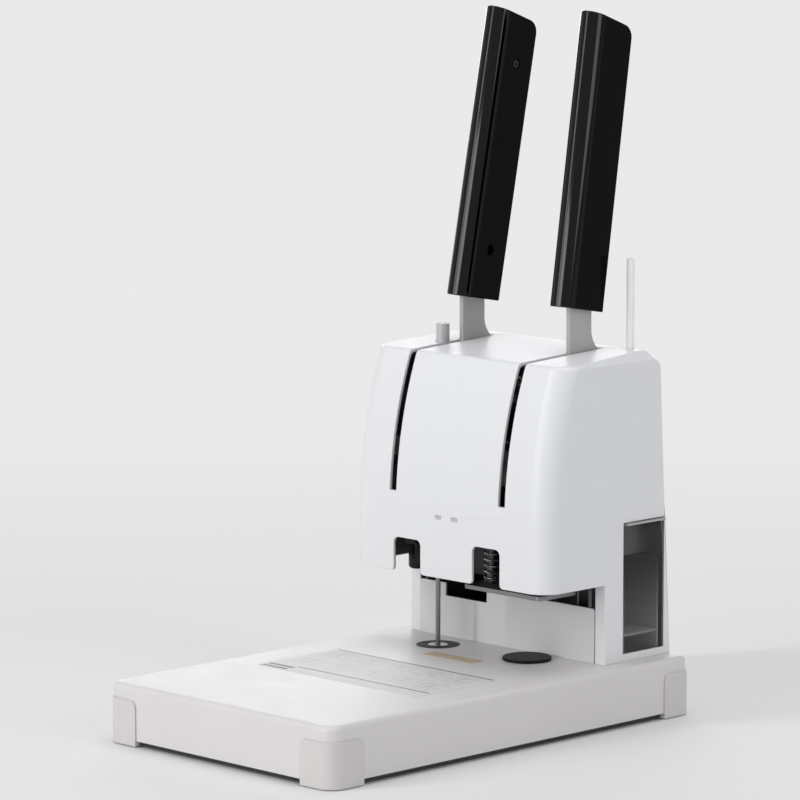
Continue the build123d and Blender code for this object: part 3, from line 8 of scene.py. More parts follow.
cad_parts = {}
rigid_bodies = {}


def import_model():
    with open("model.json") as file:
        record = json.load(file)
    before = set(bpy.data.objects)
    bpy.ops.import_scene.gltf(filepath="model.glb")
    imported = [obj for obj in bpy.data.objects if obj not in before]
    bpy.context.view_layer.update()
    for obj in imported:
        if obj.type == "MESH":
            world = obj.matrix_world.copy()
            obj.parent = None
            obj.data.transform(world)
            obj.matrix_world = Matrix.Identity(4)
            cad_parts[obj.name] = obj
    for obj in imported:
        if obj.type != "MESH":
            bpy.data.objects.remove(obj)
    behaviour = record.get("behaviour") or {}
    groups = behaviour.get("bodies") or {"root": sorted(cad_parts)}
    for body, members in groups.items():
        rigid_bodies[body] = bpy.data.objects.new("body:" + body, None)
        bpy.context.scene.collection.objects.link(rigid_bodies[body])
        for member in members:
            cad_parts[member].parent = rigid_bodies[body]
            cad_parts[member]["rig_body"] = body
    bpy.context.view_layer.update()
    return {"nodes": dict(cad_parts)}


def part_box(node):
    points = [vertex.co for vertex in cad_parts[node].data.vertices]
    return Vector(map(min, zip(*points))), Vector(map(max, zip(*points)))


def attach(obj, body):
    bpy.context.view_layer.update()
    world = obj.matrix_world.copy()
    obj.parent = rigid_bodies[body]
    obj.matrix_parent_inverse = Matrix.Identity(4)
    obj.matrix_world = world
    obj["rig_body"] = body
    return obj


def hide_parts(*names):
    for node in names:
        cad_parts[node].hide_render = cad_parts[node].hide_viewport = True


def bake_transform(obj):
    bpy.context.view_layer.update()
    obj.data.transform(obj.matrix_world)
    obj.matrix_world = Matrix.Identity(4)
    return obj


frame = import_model()
nodes = frame["nodes"]
mm = 0.001


# Base shell
# A folded and welded steel tray with the table as its top, powder coated in a
# warm light grey. The coat has a fine orange peel and a few lighter patches.
class Wire:
    """An output of a node, on which arithmetic adds Math nodes."""

    def __init__(self, graph, socket):
        self.graph = graph
        self.socket = socket

    def maths(self, operation, first, second=0.0):
        return self.graph.node("ShaderNodeMath", {"operation": operation}, {0: first, 1: second})

    def __add__(self, other):
        return self.maths("ADD", self, other)

    def __sub__(self, other):
        return self.maths("SUBTRACT", self, other)

    def __rsub__(self, other):
        return self.maths("SUBTRACT", other, self)

    def __mul__(self, other):
        return self.maths("MULTIPLY", self, other)

    def __truediv__(self, other):
        return self.maths("DIVIDE", self, other)

    def __rtruediv__(self, other):
        return self.maths("DIVIDE", other, self)

    def __pow__(self, other):
        return self.maths("POWER", self, other)

    def __gt__(self, other):
        return self.maths("GREATER_THAN", self, other)

    def __lt__(self, other):
        return self.maths("LESS_THAN", self, other)

    def __or__(self, other):
        """Where either of two masks is."""
        return self.maths("MAXIMUM", self, other)

    def __abs__(self):
        return self.maths("ABSOLUTE", self)

    __radd__ = __add__
    __rmul__ = __mul__

    def at_least(self, limit):
        return self.maths("MAXIMUM", self, limit)

    def at_most(self, limit):
        return self.maths("MINIMUM", self, limit)

    def between(self, low, high):
        """A mask where the value lies between two others."""
        return (self > low) * (self < high)

    def sine(self):
        return self.maths("SINE", self)


class Graph:
    """A node tree whose nodes all come from one method."""

    def node(self, kind, settings=None, sockets=None, output=0):
        made = self.tree.nodes.new(kind)
        for key, value in (settings or {}).items():
            setattr(made, key, value)
        for key, value in (sockets or {}).items():
            self.join(made.inputs[key], value)
        return Wire(self, made.outputs[output] if made.outputs else None)

    def join(self, socket, value):
        if isinstance(value, Wire):
            self.tree.links.new(value.socket, socket)
        elif socket.type == "RGBA" and len(value) == 3:
            socket.default_value = (*value, 1)
        else:
            socket.default_value = value


class Finish(Graph):
    """A material with one Principled shader."""

    def __init__(self, name, **constants):
        self.material = bpy.data.materials.new(name)
        self.material.use_nodes = True
        self.tree = self.material.node_tree
        self.shader = self.tree.nodes["Principled BSDF"]
        for key, value in constants.items():
            self.shader.inputs[key.replace("_", " ")].default_value = value
        self.place = self.node("ShaderNodeTexCoord", output="Object")

    def feed(self, name, value):
        self.join(self.shader.inputs[name], value)

    def noise(self, scale, detail=2.0, stretch=(1, 1, 1)):
        spot = self.node("ShaderNodeMapping", sockets={"Vector": self.place, "Scale": stretch})
        return self.node("ShaderNodeTexNoise", sockets={"Vector": spot, "Scale": scale, "Detail": detail})

    def axis(self, letter):
        return self.node("ShaderNodeSeparateXYZ", sockets={0: self.place}, output=letter)

    def round_the_axis(self, x, y):
        """Distance from an upright axis through x and y."""
        across = self.axis("X") - x
        along = self.axis("Y") - y
        return (across * across + along * along) ** 0.5

    def shade(self, mask, dark, light):
        """A colour from one to another by a mask from 0 to 1; sockets 6 and 7 take colours."""
        return self.node("ShaderNodeMix", {"data_type": "RGBA"}, {0: mask, 6: dark, 7: light}, output=2)

    def colour(self, cloud, dark, light):
        """Feeds a base colour that a cloud of noise varies from dark to light."""
        self.feed("Base Color", self.shade(cloud, dark, light))

    def colour_around(self, cloud, colour, darkest, lightest):
        """Feeds a base colour that a cloud of noise varies between two shares of one colour."""
        self.colour(cloud, scaled(colour, darkest), scaled(colour, lightest))

    def dullness(self, cloud, middle, spread):
        """Feeds a roughness that a cloud of noise varies by a spread about its middle."""
        self.feed("Roughness", cloud * spread + (middle - spread / 2))

    def raise_by(self, height, depth, strength):
        """Feeds a height from 0 to 1 as bumps of a real depth in metres."""
        bump = {"Height": height, "Distance": depth, "Strength": strength}
        self.feed("Normal", self.node("ShaderNodeBump", sockets=bump))


def scaled(colour, share):
    """A colour with its brightness times a share."""
    return tuple(min(1.0, c * share) for c in colour)


def coated(name, colour, roughness, grain, depth, patch=0.03, **constants):
    """A paint or moulded plastic: faint patches of colour, uneven gloss and a fine grain."""
    finish = Finish(name, **constants)
    finish.colour_around(finish.noise(14, 3), colour, 1 - patch, 1 + patch)
    finish.dullness(finish.noise(55, 4), roughness, spread=0.16)
    finish.raise_by(finish.noise(grain), depth, strength=0.6)
    return finish.material


def dress(material, *names):
    """Gives CAD nodes their material."""
    for name in names:
        for slot in nodes[name].material_slots:
            slot.material = material


base_paint = coated("warm_grey_powder_coat", (0.70, 0.678, 0.672), roughness=0.42, grain=1500, depth=0.00006)
dress(base_paint, "base_cover")


# Corner feet
# Four moulded corner pieces in the base's colour that clip over the shell. Each
# stands on a rubber pad pressed into its floor.
def mesh_of(form, name):
    """The mesh of a bmesh form, which is then freed."""
    mesh = bpy.data.meshes.new(name)
    form.to_mesh(mesh)
    form.free()
    return mesh


def in_scene(name, data):
    """An object for a mesh, lamp or camera, linked to the scene."""
    made = bpy.data.objects.new(name, data)
    bpy.context.scene.collection.objects.link(made)
    return made


def settled(piece):
    """Turns what a piece's modifiers make into its own plain mesh."""
    seen = piece.evaluated_get(bpy.context.evaluated_depsgraph_get())
    mesh = bpy.data.meshes.new_from_object(seen)
    piece.modifiers.clear()
    piece.data = mesh
    return piece


def split_concave(mesh):
    """Cuts a mesh's concave faces into convex ones."""
    form = bmesh.new()
    form.from_mesh(mesh)
    bmesh.ops.connect_verts_concave(form, faces=form.faces[:])
    form.to_mesh(mesh)
    form.free()


def softened(node, material, edge, segments=2, angle=40, flatness=90):
    """Stands a copy of a CAD node in for it, its edges rounded and its large faces shaded flat."""
    name = node + "_rounded"
    merge_gap = 0.002 * mm
    same_plane = math.radians(0.4)
    form = bmesh.new()
    form.from_mesh(nodes[node].data)
    bmesh.ops.remove_doubles(form, verts=form.verts, dist=merge_gap)
    bmesh.ops.dissolve_limit(form, angle_limit=same_plane, verts=form.verts, edges=form.edges)
    # A rim round an opening at the back is split, so that no face spans the opening.
    rear_rims = [face for face in form.faces if face.normal.y > 0.9]
    bmesh.ops.connect_verts_concave(form, faces=rear_rims)
    true_shape = BVHTree.FromBMesh(form)
    piece = in_scene(name, mesh_of(form, name))
    piece.data.materials.append(material)
    piece.data.shade_smooth()
    rounding = piece.modifiers.new("edges", "BEVEL")
    rounding.limit_method = "ANGLE"
    rounding.angle_limit = math.radians(angle)
    rounding.width = edge
    rounding.segments = segments
    rounding.use_clamp_overlap = False
    settled(piece)
    # A corner that the rounding threw off the true shape goes back on it.
    for corner in piece.data.vertices:
        place, _, _, away = true_shape.find_nearest(corner.co)
        if away > 0.8 * edge:
            corner.co = place
    split_concave(piece.data)
    shading = piece.modifiers.new("shading", "WEIGHTED_NORMAL")
    shading.weight = flatness
    settled(piece)
    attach(piece, nodes[node]["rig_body"])
    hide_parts(node)


def dark_rubber(name, colour, roughness=0.72, **constants):
    """Moulded rubber with a faint bloom and a fine grain."""
    finish = Finish(name, **constants)
    finish.colour_around(finish.noise(90, 4), colour, darkest=0.8, lightest=1.5)
    finish.dullness(finish.noise(300), roughness, spread=0.2)
    finish.raise_by(finish.noise(1800), 0.00006, strength=0.7)
    return finish.material


foot_plastic = coated("feet_moulded_plastic", (0.64, 0.618, 0.61), roughness=0.48, grain=2600, depth=0.00005)
softened("corner_feet", foot_plastic, edge=0.35 * mm)
pad_rubber = dark_rubber("pad_rubber", (0.028, 0.028, 0.029))
dress(pad_rubber, "rubber_pads")

# Bottom plate and frame
# The bottom plate is steel sheet in satin black, a black that stands in for the shaded gap under the base.
# The frame is bent and drilled zinc plated sheet, with faint spangle and streaks from rolling; its front
# edges are painted dark as shade under the head.
# Painted shade: the plate's black stands in for the dark gap under the base.
plate_black_as_shade = coated("black_plate_painted_shade", (0.022, 0.022, 0.023), roughness=0.45, grain=1500, depth=0.00005,
                     patch=0.08)
dress(plate_black_as_shade, "base_plate")
zinc = Finish("zinc_plated_sheet", Metallic=1.0)
zinc_grey = (0.42, 0.425, 0.43)
front_edge = 100.2 * mm
flakes = zinc.node("ShaderNodeTexVoronoi", sockets={"Vector": zinc.place, "Scale": 210.0}, output="Color")
flake_grey = zinc.node("ShaderNodeSeparateXYZ", sockets={0: flakes})
rolled = zinc.noise(60, 3, stretch=(1, 12, 1))
spangle = zinc.shade(flake_grey * 0.5 + rolled * 0.5, scaled(zinc_grey, 0.86), scaled(zinc_grey, 1.12))
# Painted shade: the plates' front edges, ahead of front_edge, are coloured dark as the shade under the head.
zinc.colour(zinc.axis("Y") < front_edge, spangle, scaled(zinc_grey, 0.3))
zinc.feed("Roughness", flake_grey * 0.1 + rolled * 0.08 + 0.31)
zinc.raise_by(rolled, 0.00004, strength=0.4)
dress(zinc.material, "frame_plate_left", "frame_plate_right", "lower_bridge", "upper_bridge")


# Housing screws
# Pan head steel screws with a cross recess: six hold the bottom plate from below,
# four hold the rear panel. One modelled screw is set at each place.
def revolved(name, outline, steps=32):
    """A closed mesh about Z from (radius, height) corners; a radius of 0 ends at a pole."""
    form = bmesh.new()
    turn = [2 * math.pi * i / steps for i in range(steps)]
    rings = []
    for radius, height in outline:
        if radius == 0:
            rings.append([form.verts.new((0, 0, height))])
        else:
            ring = [(radius * math.cos(angle), radius * math.sin(angle), height) for angle in turn]
            rings.append([form.verts.new(corner) for corner in ring])
    for lower, upper in zip(rings, rings[1:]):
        for i in range(steps):
            corners = [lower[i % len(lower)], lower[(i + 1) % len(lower)],
                       upper[(i + 1) % len(upper)], upper[i % len(upper)]]
            form.faces.new(list(dict.fromkeys(corners)))
    bmesh.ops.recalc_face_normals(form, faces=form.faces)
    return mesh_of(form, name)


def shown(name, mesh, material=None):
    """An object for a mesh, in the scene, with its faces smooth and its sharp edges kept."""
    if material:
        mesh.materials.clear()
        mesh.materials.append(material)
    mesh.set_sharp_from_angle(angle=math.radians(32))
    return in_scene(name, mesh)


def carved(piece, cutter_mesh):
    """Cuts a mesh's shape out of a piece."""
    cutter = shown("cutter", cutter_mesh)
    cut = piece.modifiers.new("cut", "BOOLEAN")
    cut.object = cutter
    cut.operation = "DIFFERENCE"
    cut.use_self = True
    settled(piece)
    bpy.data.objects.remove(cutter)


def cross_screw(radius, height, shaft, length):
    """A pan head screw pointing up Z, its seat at height 0, with a tapered cross recess."""
    rim = radius * 0.25
    outline = [(0, -length), (shaft, -length), (shaft, 0), (radius, 0), (radius, height - rim),
               (radius - rim * 0.35, height - rim * 0.3), (radius - rim, height), (0, height)]
    screw = shown("screw", revolved("screw", outline))
    arm_length, arm_width, arm_height = radius * 1.1, radius * 0.24, height * 1.2
    arm_middle, taper = height * 1.05, 0.6
    arm_size = Matrix.Diagonal((arm_length, arm_width, arm_height, 1))
    arms = bmesh.new()
    for turn in (0, math.pi / 2):
        arm = bmesh.ops.create_cube(arms, size=1)["verts"]
        bmesh.ops.transform(arms, verts=arm, matrix=Matrix.Rotation(turn, 4, "Z") @ arm_size)
    bmesh.ops.translate(arms, verts=arms.verts, vec=(0, 0, arm_middle))
    for corner in arms.verts:
        if corner.co.z < height:
            corner.co.x *= taper
            corner.co.y *= taper
    carved(screw, mesh_of(arms, "arms"))
    return screw


class Growth(Graph):
    """A Geometry Nodes tree with named inputs, which grows one piece and keeps its plain mesh."""

    def __init__(self, name, **inputs):
        self.tree = bpy.data.node_groups.new(name, "GeometryNodeTree")
        self.tree.interface.new_socket("Geometry", in_out="INPUT", socket_type="NodeSocketGeometry")
        for key, kind in inputs.items():
            self.tree.interface.new_socket(key, in_out="INPUT", socket_type="NodeSocket" + kind)
        self.tree.interface.new_socket("Geometry", in_out="OUTPUT", socket_type="NodeSocketGeometry")
        self.given = self.tree.nodes.new("NodeGroupInput")

    def input(self, name):
        return Wire(self, self.given.outputs[name])

    def end_with(self, geometry):
        real = self.node("GeometryNodeRealizeInstances", sockets={0: geometry})
        finish = {"Geometry": real, "Material": self.input("finish")}
        self.node("NodeGroupOutput", sockets={0: self.node("GeometryNodeSetMaterial", sockets=finish)})

    def grow(self, name, mesh, **values):
        piece = in_scene(name, mesh)
        run = piece.modifiers.new("growth", "NODES")
        run.node_group = self.tree
        for item in self.tree.interface.items_tree:
            if item.in_out == "INPUT" and item.name in values:
                run[item.identifier] = values[item.name]
        return settled(piece)


screw_setting = Growth("screw_setting", screw="Object", seed="Int", finish="Material")
random_turn = screw_setting.node(
    "FunctionNodeRandomValue", sockets={3: math.pi, "Seed": screw_setting.input("seed")}, output=1
)
spun = screw_setting.node(
    "FunctionNodeAxisAngleToRotation", sockets={"Axis": (0, 0, 1), "Angle": random_turn}
)
stated_way = screw_setting.node(
    "GeometryNodeInputNamedAttribute", {"data_type": "FLOAT_VECTOR"}, {"Name": "way"}
)
aimed = screw_setting.node("FunctionNodeAlignRotationToVector", {"axis": "Z"}, {"Vector": stated_way})
aimed_and_spun = screw_setting.node(
    "FunctionNodeRotateRotation", {"rotation_space": "LOCAL"}, {"Rotation": aimed, "Rotate By": spun}
)
one_screw = screw_setting.node(
    "GeometryNodeObjectInfo", sockets={"Object": screw_setting.input("screw")}, output="Geometry"
)
screw_setting.end_with(screw_setting.node("GeometryNodeInstanceOnPoints", sockets={
    "Points": screw_setting.input("Geometry"), "Instance": one_screw, "Rotation": aimed_and_spun,
}))


def screws_at(name, screw, places, material, body, node):
    """A screw set at each (point, way), as one piece that stands for a CAD node."""
    mesh = bpy.data.meshes.new(name)
    mesh.from_pydata([point for point, way in places], [], [])
    ways = mesh.attributes.new("way", "FLOAT_VECTOR", "POINT")
    for i, (point, way) in enumerate(places):
        ways.data[i].vector = way
    piece = screw_setting.grow(name, mesh, screw=screw, seed=7, finish=material)
    bpy.data.objects.remove(screw)
    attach(piece, body)
    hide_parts(node)


def drawn_steel(name, colour, roughness, streaks=(1, 1, 1)):
    """Bright steel with fine streaks along the way it was ground or drawn."""
    finish = Finish(name, Metallic=1.0)
    drawn = finish.noise(700, 3, streaks)
    finish.colour_around(finish.noise(40, 3), colour, darkest=0.88, lightest=1.06)
    finish.dullness(drawn, roughness, spread=0.22)
    finish.raise_by(drawn, 0.00003, strength=0.5)
    return finish.material


screw_steel = drawn_steel("screw_steel", (0.50, 0.50, 0.51), roughness=0.33)
screw_radius, screw_height = 3.3 * mm, 1.3 * mm
screws_low, screws_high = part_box("housing_screws")
bottom_column = screws_high.x - screw_radius
bottom_row = screws_low.y + screw_radius
screw_places = [
    ((side * bottom_column, row * bottom_row, screws_low.z + screw_height), (0, 0, -1))
    for side in (-1, 1) for row in (-1, 0, 1)
]
rear_bend, rear_bend_height = 157.6 * mm, 147.4 * mm
rear_lean_below, rear_lean_above = 6.8 / 106.2, 5.2 / 102.8
rear_column, seat_gap = 71 * mm, 0.2 * mm
for height in (124.0 * mm, 212.0 * mm):
    lean = rear_lean_below if height < rear_bend_height else rear_lean_above
    seat = rear_bend + (rear_bend_height - height) * lean + seat_gap
    screw_places += [((side * rear_column, seat, height), (0, 1, 0)) for side in (-1, 1)]
cover_screw = cross_screw(screw_radius, screw_height, shaft=1.7 * mm, length=12 * mm)
screws_at("cover_screws", cover_screw, screw_places, screw_steel, "frame", "housing_screws")

# Printed sheets
# A thin film glued to the table with plain rules, blank line drawings and rows of
# short strokes in grey ink, and a narrow tan strip behind it. No words are set.
film = coated("label_film", (0.66, 0.655, 0.66), roughness=0.52, grain=900, depth=0.00002, patch=0.015,
              Specular_IOR_Level=0.3)
dress(film, "instruction_label")
film_low, film_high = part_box("instruction_label")
film_middle = (film_low + film_high) / 2


def inked(name, colour, worn):
    """Printing ink that lies unevenly."""
    finish = Finish(name)
    wear = finish.noise(900, 3)
    finish.colour_around(wear, colour, 1 - worn, 1 + worn)
    finish.dullness(wear, 0.4, spread=0.2)
    return finish.material


def add_box(form, low, high):
    """A box between two corners in metres."""
    sides = Matrix.Diagonal((*(high - low), 1))
    bmesh.ops.create_cube(form, size=1, matrix=Matrix.Translation((low + high) / 2) @ sides)


def flat_bars(bars, height, thickness=0.02 * mm):
    """Flat bars, each from its (x0, y0, x1, y1) in millimetres, as one mesh."""
    form = bmesh.new()
    for x0, y0, x1, y1 in bars:
        add_box(form, Vector((x0 * mm, y0 * mm, height)), Vector((x1 * mm, y1 * mm, height + thickness)))
    return mesh_of(form, "bars")


rule_ink = inked("rule_ink", (0.05, 0.05, 0.052), worn=0.35)
margin_left, heading_right, margin_right = -74, -50, 74
rules = shown("sheet_rules", flat_bars([
    (margin_left, 9.4, margin_right, 11.0), (heading_right, -50.9, margin_right, -49.3),
    (margin_left, -56.4, heading_right, -52.6), (margin_left, -62.6, heading_right, -58.8),
], film_high.z), rule_ink)
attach(rules, "frame")

faint_ink = inked("faint_ink", (0.42, 0.42, 0.43), worn=0.2)
drawing_width, line = 17, 0.5
drawing = []
for left in (-66, -36, -6, 24, 50):
    right = left + drawing_width
    for low, high in ((-12, 4), (-40, -24)):
        drawing += [(left, low, right, low + line), (left, high, right, high + line),
                    (left, low, left + line, high), (right, low, right + line, high),
                    (left + 5, low + 4, left + 12, low + 5), (left + 7, low + 5, left + 8, high - 2),
                    (left + 3, high - 4, left + 13, high - 3.4)]
drawings = shown("sheet_drawings", flat_bars(drawing, film_high.z), faint_ink)
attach(drawings, "frame")

print_width, print_depth, print_lift = 130 * mm, 66 * mm, 0.01 * mm
print_place = (film_middle.x, film_middle.y, film_high.z + print_lift)
strokes = Growth("strokes", rows="Int", columns="Int", seed="Int", finish="Material")
stroke_grid = strokes.node("GeometryNodeMeshGrid", sockets={
    "Size X": print_width, "Size Y": print_depth,
    "Vertices X": strokes.input("columns"), "Vertices Y": strokes.input("rows"),
})
kept_strokes = strokes.node(
    "FunctionNodeRandomValue", {"data_type": "BOOLEAN"},
    {"Probability": 0.55, "Seed": strokes.input("seed")}, output=3
)
shortest, longest = (1.5 * mm, 0.5 * mm, 0.02 * mm), (5.5 * mm, 0.5 * mm, 0.02 * mm)
stroke_sizes = strokes.node(
    "FunctionNodeRandomValue", {"data_type": "FLOAT_VECTOR"},
    {0: shortest, 1: longest, "Seed": strokes.input("seed")}
)
one_stroke = strokes.node("GeometryNodeMeshCube", sockets={"Size": (1, 1, 1)})
set_strokes = strokes.node("GeometryNodeInstanceOnPoints", sockets={
    "Points": stroke_grid, "Selection": kept_strokes, "Instance": one_stroke, "Scale": stroke_sizes,
})
strokes.end_with(strokes.node("GeometryNodeTransform", sockets={
    "Geometry": set_strokes, "Translation": print_place,
}))
stroke_rows = strokes.grow("sheet_strokes", bpy.data.meshes.new("strokes"), rows=24, columns=21, seed=3,
                           finish=faint_ink)
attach(stroke_rows, "frame")

tan_strip = Finish("tan_strip")
strip_cloud = tan_strip.noise(160, 4, stretch=(0.5, 2, 1))
tan_strip.colour(strip_cloud, (0.36, 0.26, 0.14), (0.78, 0.66, 0.50))
tan_strip.dullness(strip_cloud, 0.45, spread=0.2)
dress(tan_strip.material, "strip_label")


# Lower die, guide pin and turning pad
# The turned steel die sits in a black anodised ring with the drawn steel guide pin
# in it, over a machined block. The drill pad is turned from black acetal.
def turned(name, colour, node, roughness, **constants):
    """A turned face whose fine tool marks run round the upright axis of a node."""
    low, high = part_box(node)
    middle = (low + high) / 2
    mark_rate = 9000
    finish = Finish(name, **constants)
    marks = (finish.round_the_axis(middle.x, middle.y) * mark_rate).sine()
    cloud = finish.noise(120, 3)
    finish.colour_around(cloud, colour, darkest=0.85, lightest=1.15)
    finish.dullness(cloud, roughness, spread=0.14)
    finish.raise_by(marks, 0.00002, strength=0.6)
    dress(finish.material, node)


turned("black_anodised_ring", (0.006, 0.006, 0.007), "die_ring", roughness=0.42, Specular_IOR_Level=0.10)
turned("turned_steel_die", (0.62, 0.62, 0.63), "lower_die", roughness=0.24, Metallic=1.0)
turned("black_acetal_pad", (0.009, 0.009, 0.010), "drill_pad", roughness=0.46, Specular_IOR_Level=0.10)
pin_steel = drawn_steel("guide_pin_steel", (0.24, 0.235, 0.24), roughness=0.24, streaks=(1, 1, 0.03))
dress(pin_steel, "guide_pin")
cast_aluminium = coated("machined_aluminium", (0.60, 0.605, 0.615), roughness=0.34, grain=900, depth=0.00004,
                        patch=0.05, Metallic=1.0)
dress(cast_aluminium, "support_blocks")

# Guide posts, shaft, collars and stop
# Ground steel posts are pressed between the two bridges. The lever shaft runs
# through both side plates, and black collars keep the levers in their place.
post_steel = drawn_steel("ground_steel_posts", (0.60, 0.60, 0.61), roughness=0.22, streaks=(1, 1, 0.04))
shaft_steel = drawn_steel("ground_steel_shaft", (0.58, 0.58, 0.59), roughness=0.24, streaks=(0.04, 1, 1))
dress(post_steel, "guide_posts")
dress(shaft_steel, "lever_shaft")
collar_black = coated("acetal_collars", (0.035, 0.035, 0.037), roughness=0.42, grain=1600, depth=0.00004)
dress(collar_black, "shaft_collars")
stop_rubber = dark_rubber("stop_rubber", (0.006, 0.006, 0.007), roughness=0.22, Specular_IOR_Level=0.3)
dress(stop_rubber, "stop_buffer")

# Melting unit
# An aluminium carriage carries an insulating stem, a heat-blackened brass block with
# its cartridge and a turned brass die. A steel rack drives it from the lever's gear.
rack_steel = drawn_steel("hobbed_rack_steel", (0.52, 0.52, 0.525), roughness=0.32, streaks=(0.2, 1, 1))
stem_ceramic = coated("insulating_ceramic", (0.70, 0.66, 0.58), roughness=0.55, grain=1200, depth=0.00008,
                      patch=0.06)
heater_brass = drawn_steel("heat_blackened_brass", (0.07, 0.06, 0.05), roughness=0.42, streaks=(1, 1, 0.1))
cartridge_steel = drawn_steel("cartridge_steel", (0.45, 0.43, 0.41), roughness=0.30, streaks=(1, 0.05, 1))
turned("turned_brass_die", (0.66, 0.50, 0.27), "upper_die", roughness=0.26, Metallic=1.0)
dress(cast_aluminium, "melt_carriage", "drill_carriage")
dress(rack_steel, "melt_rack", "drill_rack", "left_sector_gear", "right_sector_gear")
dress(stem_ceramic, "heater_stem")
dress(heater_brass, "heater_block")
dress(cartridge_steel, "heater_cartridge")

# Drill unit
# The spindle turns in two ball bearings, driven from the motor by a rubber belt over
# turned pulleys. A blackened chuck holds the hollow bit, a steel plate clamps the paper.
motor_can = Finish("motor_can")
flange_top, cap_bottom = 187.2 * mm, 213 * mm
bright_ends = (motor_can.axis("Z") > cap_bottom) + (motor_can.axis("Z") < flange_top)
can_cloud = motor_can.noise(300, 3, stretch=(1, 1, 0.1))
can_black = motor_can.shade(can_cloud, (0.03, 0.03, 0.032), (0.05, 0.05, 0.052))
motor_can.colour(bright_ends, can_black, (0.55, 0.55, 0.56))
motor_can.feed("Metallic", bright_ends * 0.9)
motor_can.dullness(can_cloud, 0.355, spread=0.15)
dress(motor_can.material, "drill_motor")
turned("bearing_steel", (0.58, 0.58, 0.59), "spindle_bearings", roughness=0.20, Metallic=1.0)
turned("turned_spindle", (0.60, 0.60, 0.61), "spindle", roughness=0.24, Metallic=1.0)
turned("blackened_chuck", (0.16, 0.16, 0.165), "chuck", roughness=0.30, Metallic=1.0)
turned("drill_bit_steel", (0.66, 0.655, 0.64), "drill_bit", roughness=0.18, Metallic=1.0)
turned("turned_spindle_pulley", (0.62, 0.62, 0.63), "spindle_pulley", roughness=0.28, Metallic=1.0)
turned("turned_motor_pulley", (0.62, 0.62, 0.63), "motor_pulley", roughness=0.28, Metallic=1.0)
belt_rubber = dark_rubber("belt_rubber", (0.018, 0.018, 0.018))
dress(belt_rubber, "drive_belt")
clamp_steel = drawn_steel("clamp_plate_steel", (0.26, 0.26, 0.27), roughness=0.42, streaks=(0.05, 1, 1))
softened("press_plate", clamp_steel, edge=0.25 * mm)

# Coil springs
# Cold wound spring wire with a closed turn at each end: two press the paper clamp
# down, one over each carriage draws the carriage up again.
spring_wire = drawn_steel("spring_wire", (0.78, 0.78, 0.79), roughness=0.22)
winding = Growth("winding", turns="Float", radius="Float", height="Float", wire="Float", finish="Material")
wire_circle = winding.node("GeometryNodeCurveSpiral", sockets={
    "Resolution": 40, "Rotations": winding.input("turns"), "Start Radius": winding.input("radius"),
    "End Radius": winding.input("radius"), "Height": 0.0,
})
wire_width = winding.input("wire")
wound_share = winding.node("GeometryNodeSplineParameter")
end_share = 1 / winding.input("turns")
open_height = winding.input("height") - wire_width * 3
climb = (wound_share - end_share) / (1 - end_share * 2) * open_height + wire_width * 1.5
low_end = wound_share / end_share * wire_width + wire_width * 0.5
high_end = winding.input("height") - wire_width * 0.5 - (1 - wound_share) / end_share * wire_width
wound_height = climb.at_most(high_end).at_least(low_end)
climbing = winding.node("ShaderNodeCombineXYZ", sockets={"Z": wound_height})
wound_wire = winding.node("GeometryNodeSetPosition", sockets={"Geometry": wire_circle, "Offset": climbing})
wire_section = winding.node(
    "GeometryNodeCurvePrimitiveCircle", sockets={"Resolution": 10, "Radius": wire_width * 0.5}
)
winding.end_with(winding.node("GeometryNodeCurveToMesh", sockets={
    "Curve": wound_wire, "Profile Curve": wire_section, "Fill Caps": True,
}))


def spring(name, node, count, radius, wire, turns):
    """One spring, or one at each end of a CAD node's box."""
    low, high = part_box(node)
    outer_radius = radius + wire / 2
    x, y = low.x + outer_radius, (low.y + high.y) / 2
    spacing = high.x - low.x - 2 * outer_radius
    form = bmesh.new()
    for i in range(count):
        coil = winding.grow(name + "_coil", bpy.data.meshes.new(name), turns=float(turns), radius=radius,
                            height=high.z - low.z, wire=wire, finish=spring_wire)
        coil.data.transform(Matrix.Translation((x + i * spacing, y, low.z)))
        form.from_mesh(coil.data)
        bpy.data.objects.remove(coil)
    mesh = mesh_of(form, name)
    mesh.shade_smooth()
    piece = shown(name, mesh, spring_wire)
    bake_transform(piece)
    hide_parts(node)


spring("clamp_springs", "press_springs", count=2, radius=4.4 * mm, wire=1.2 * mm, turns=20)
for tool, carriage in (("melt", "melting_head"), ("drill", "drill_head")):
    spring(tool + "_lift_spring", tool + "_return_spring", count=1, radius=5.5 * mm, wire=1.0 * mm,
           turns=13)

# Levers
# Each lever is a steel plate painted light grey. Its tang ends in a glossy black
# moulded grip, held by two blackened cross recess screws from the inner side.
lever_paint = coated("light_grey_lever_paint", (0.44, 0.44, 0.442), roughness=0.34, grain=1700, depth=0.00005,
                     Coat_Weight=0.3)
grip_lean, grip_splay = math.radians(9.9), math.radians(1.36)
grip_foot_across, grip_foot_back, grip_foot_height = 48.8 * mm, 112.8 * mm, 278 * mm
grip_black = Finish("glossy_black_grip", Specular_IOR_Level=0.06, Coat_Roughness=0.06)
grip_cloud = grip_black.noise(60, 3)
grip_black.colour(grip_cloud, (0.0008, 0.0008, 0.0010), (0.0014, 0.0014, 0.0017))
grip_black.dullness(grip_cloud, 0.07, spread=0.04)
polish_back, polish_fade = 104.0 * mm, 6 * mm
grip_depth = grip_black.axis("Y") - (grip_black.axis("Z") - grip_foot_height) * math.tan(grip_lean)
polished = ((polish_back - grip_depth) / polish_fade).at_least(0.0).at_most(1.0)
grip_black.feed("Coat Weight", polished * 0.75)
grip_black.raise_by(grip_black.noise(2400), 0.000005, strength=0.3)
softened("left_lever_plate", lever_paint, edge=0.4 * mm)
softened("right_lever_plate", lever_paint, edge=0.4 * mm)
softened("left_grip", grip_black.material, edge=0.7 * mm, segments=3, flatness=50)
softened("right_grip", grip_black.material, edge=0.7 * mm, segments=3, flatness=50)
black_screw = drawn_steel("blackened_screw_steel", (0.04, 0.04, 0.042), roughness=0.34)
half_grip, screw_setback = 9.4 * mm, 3 * mm
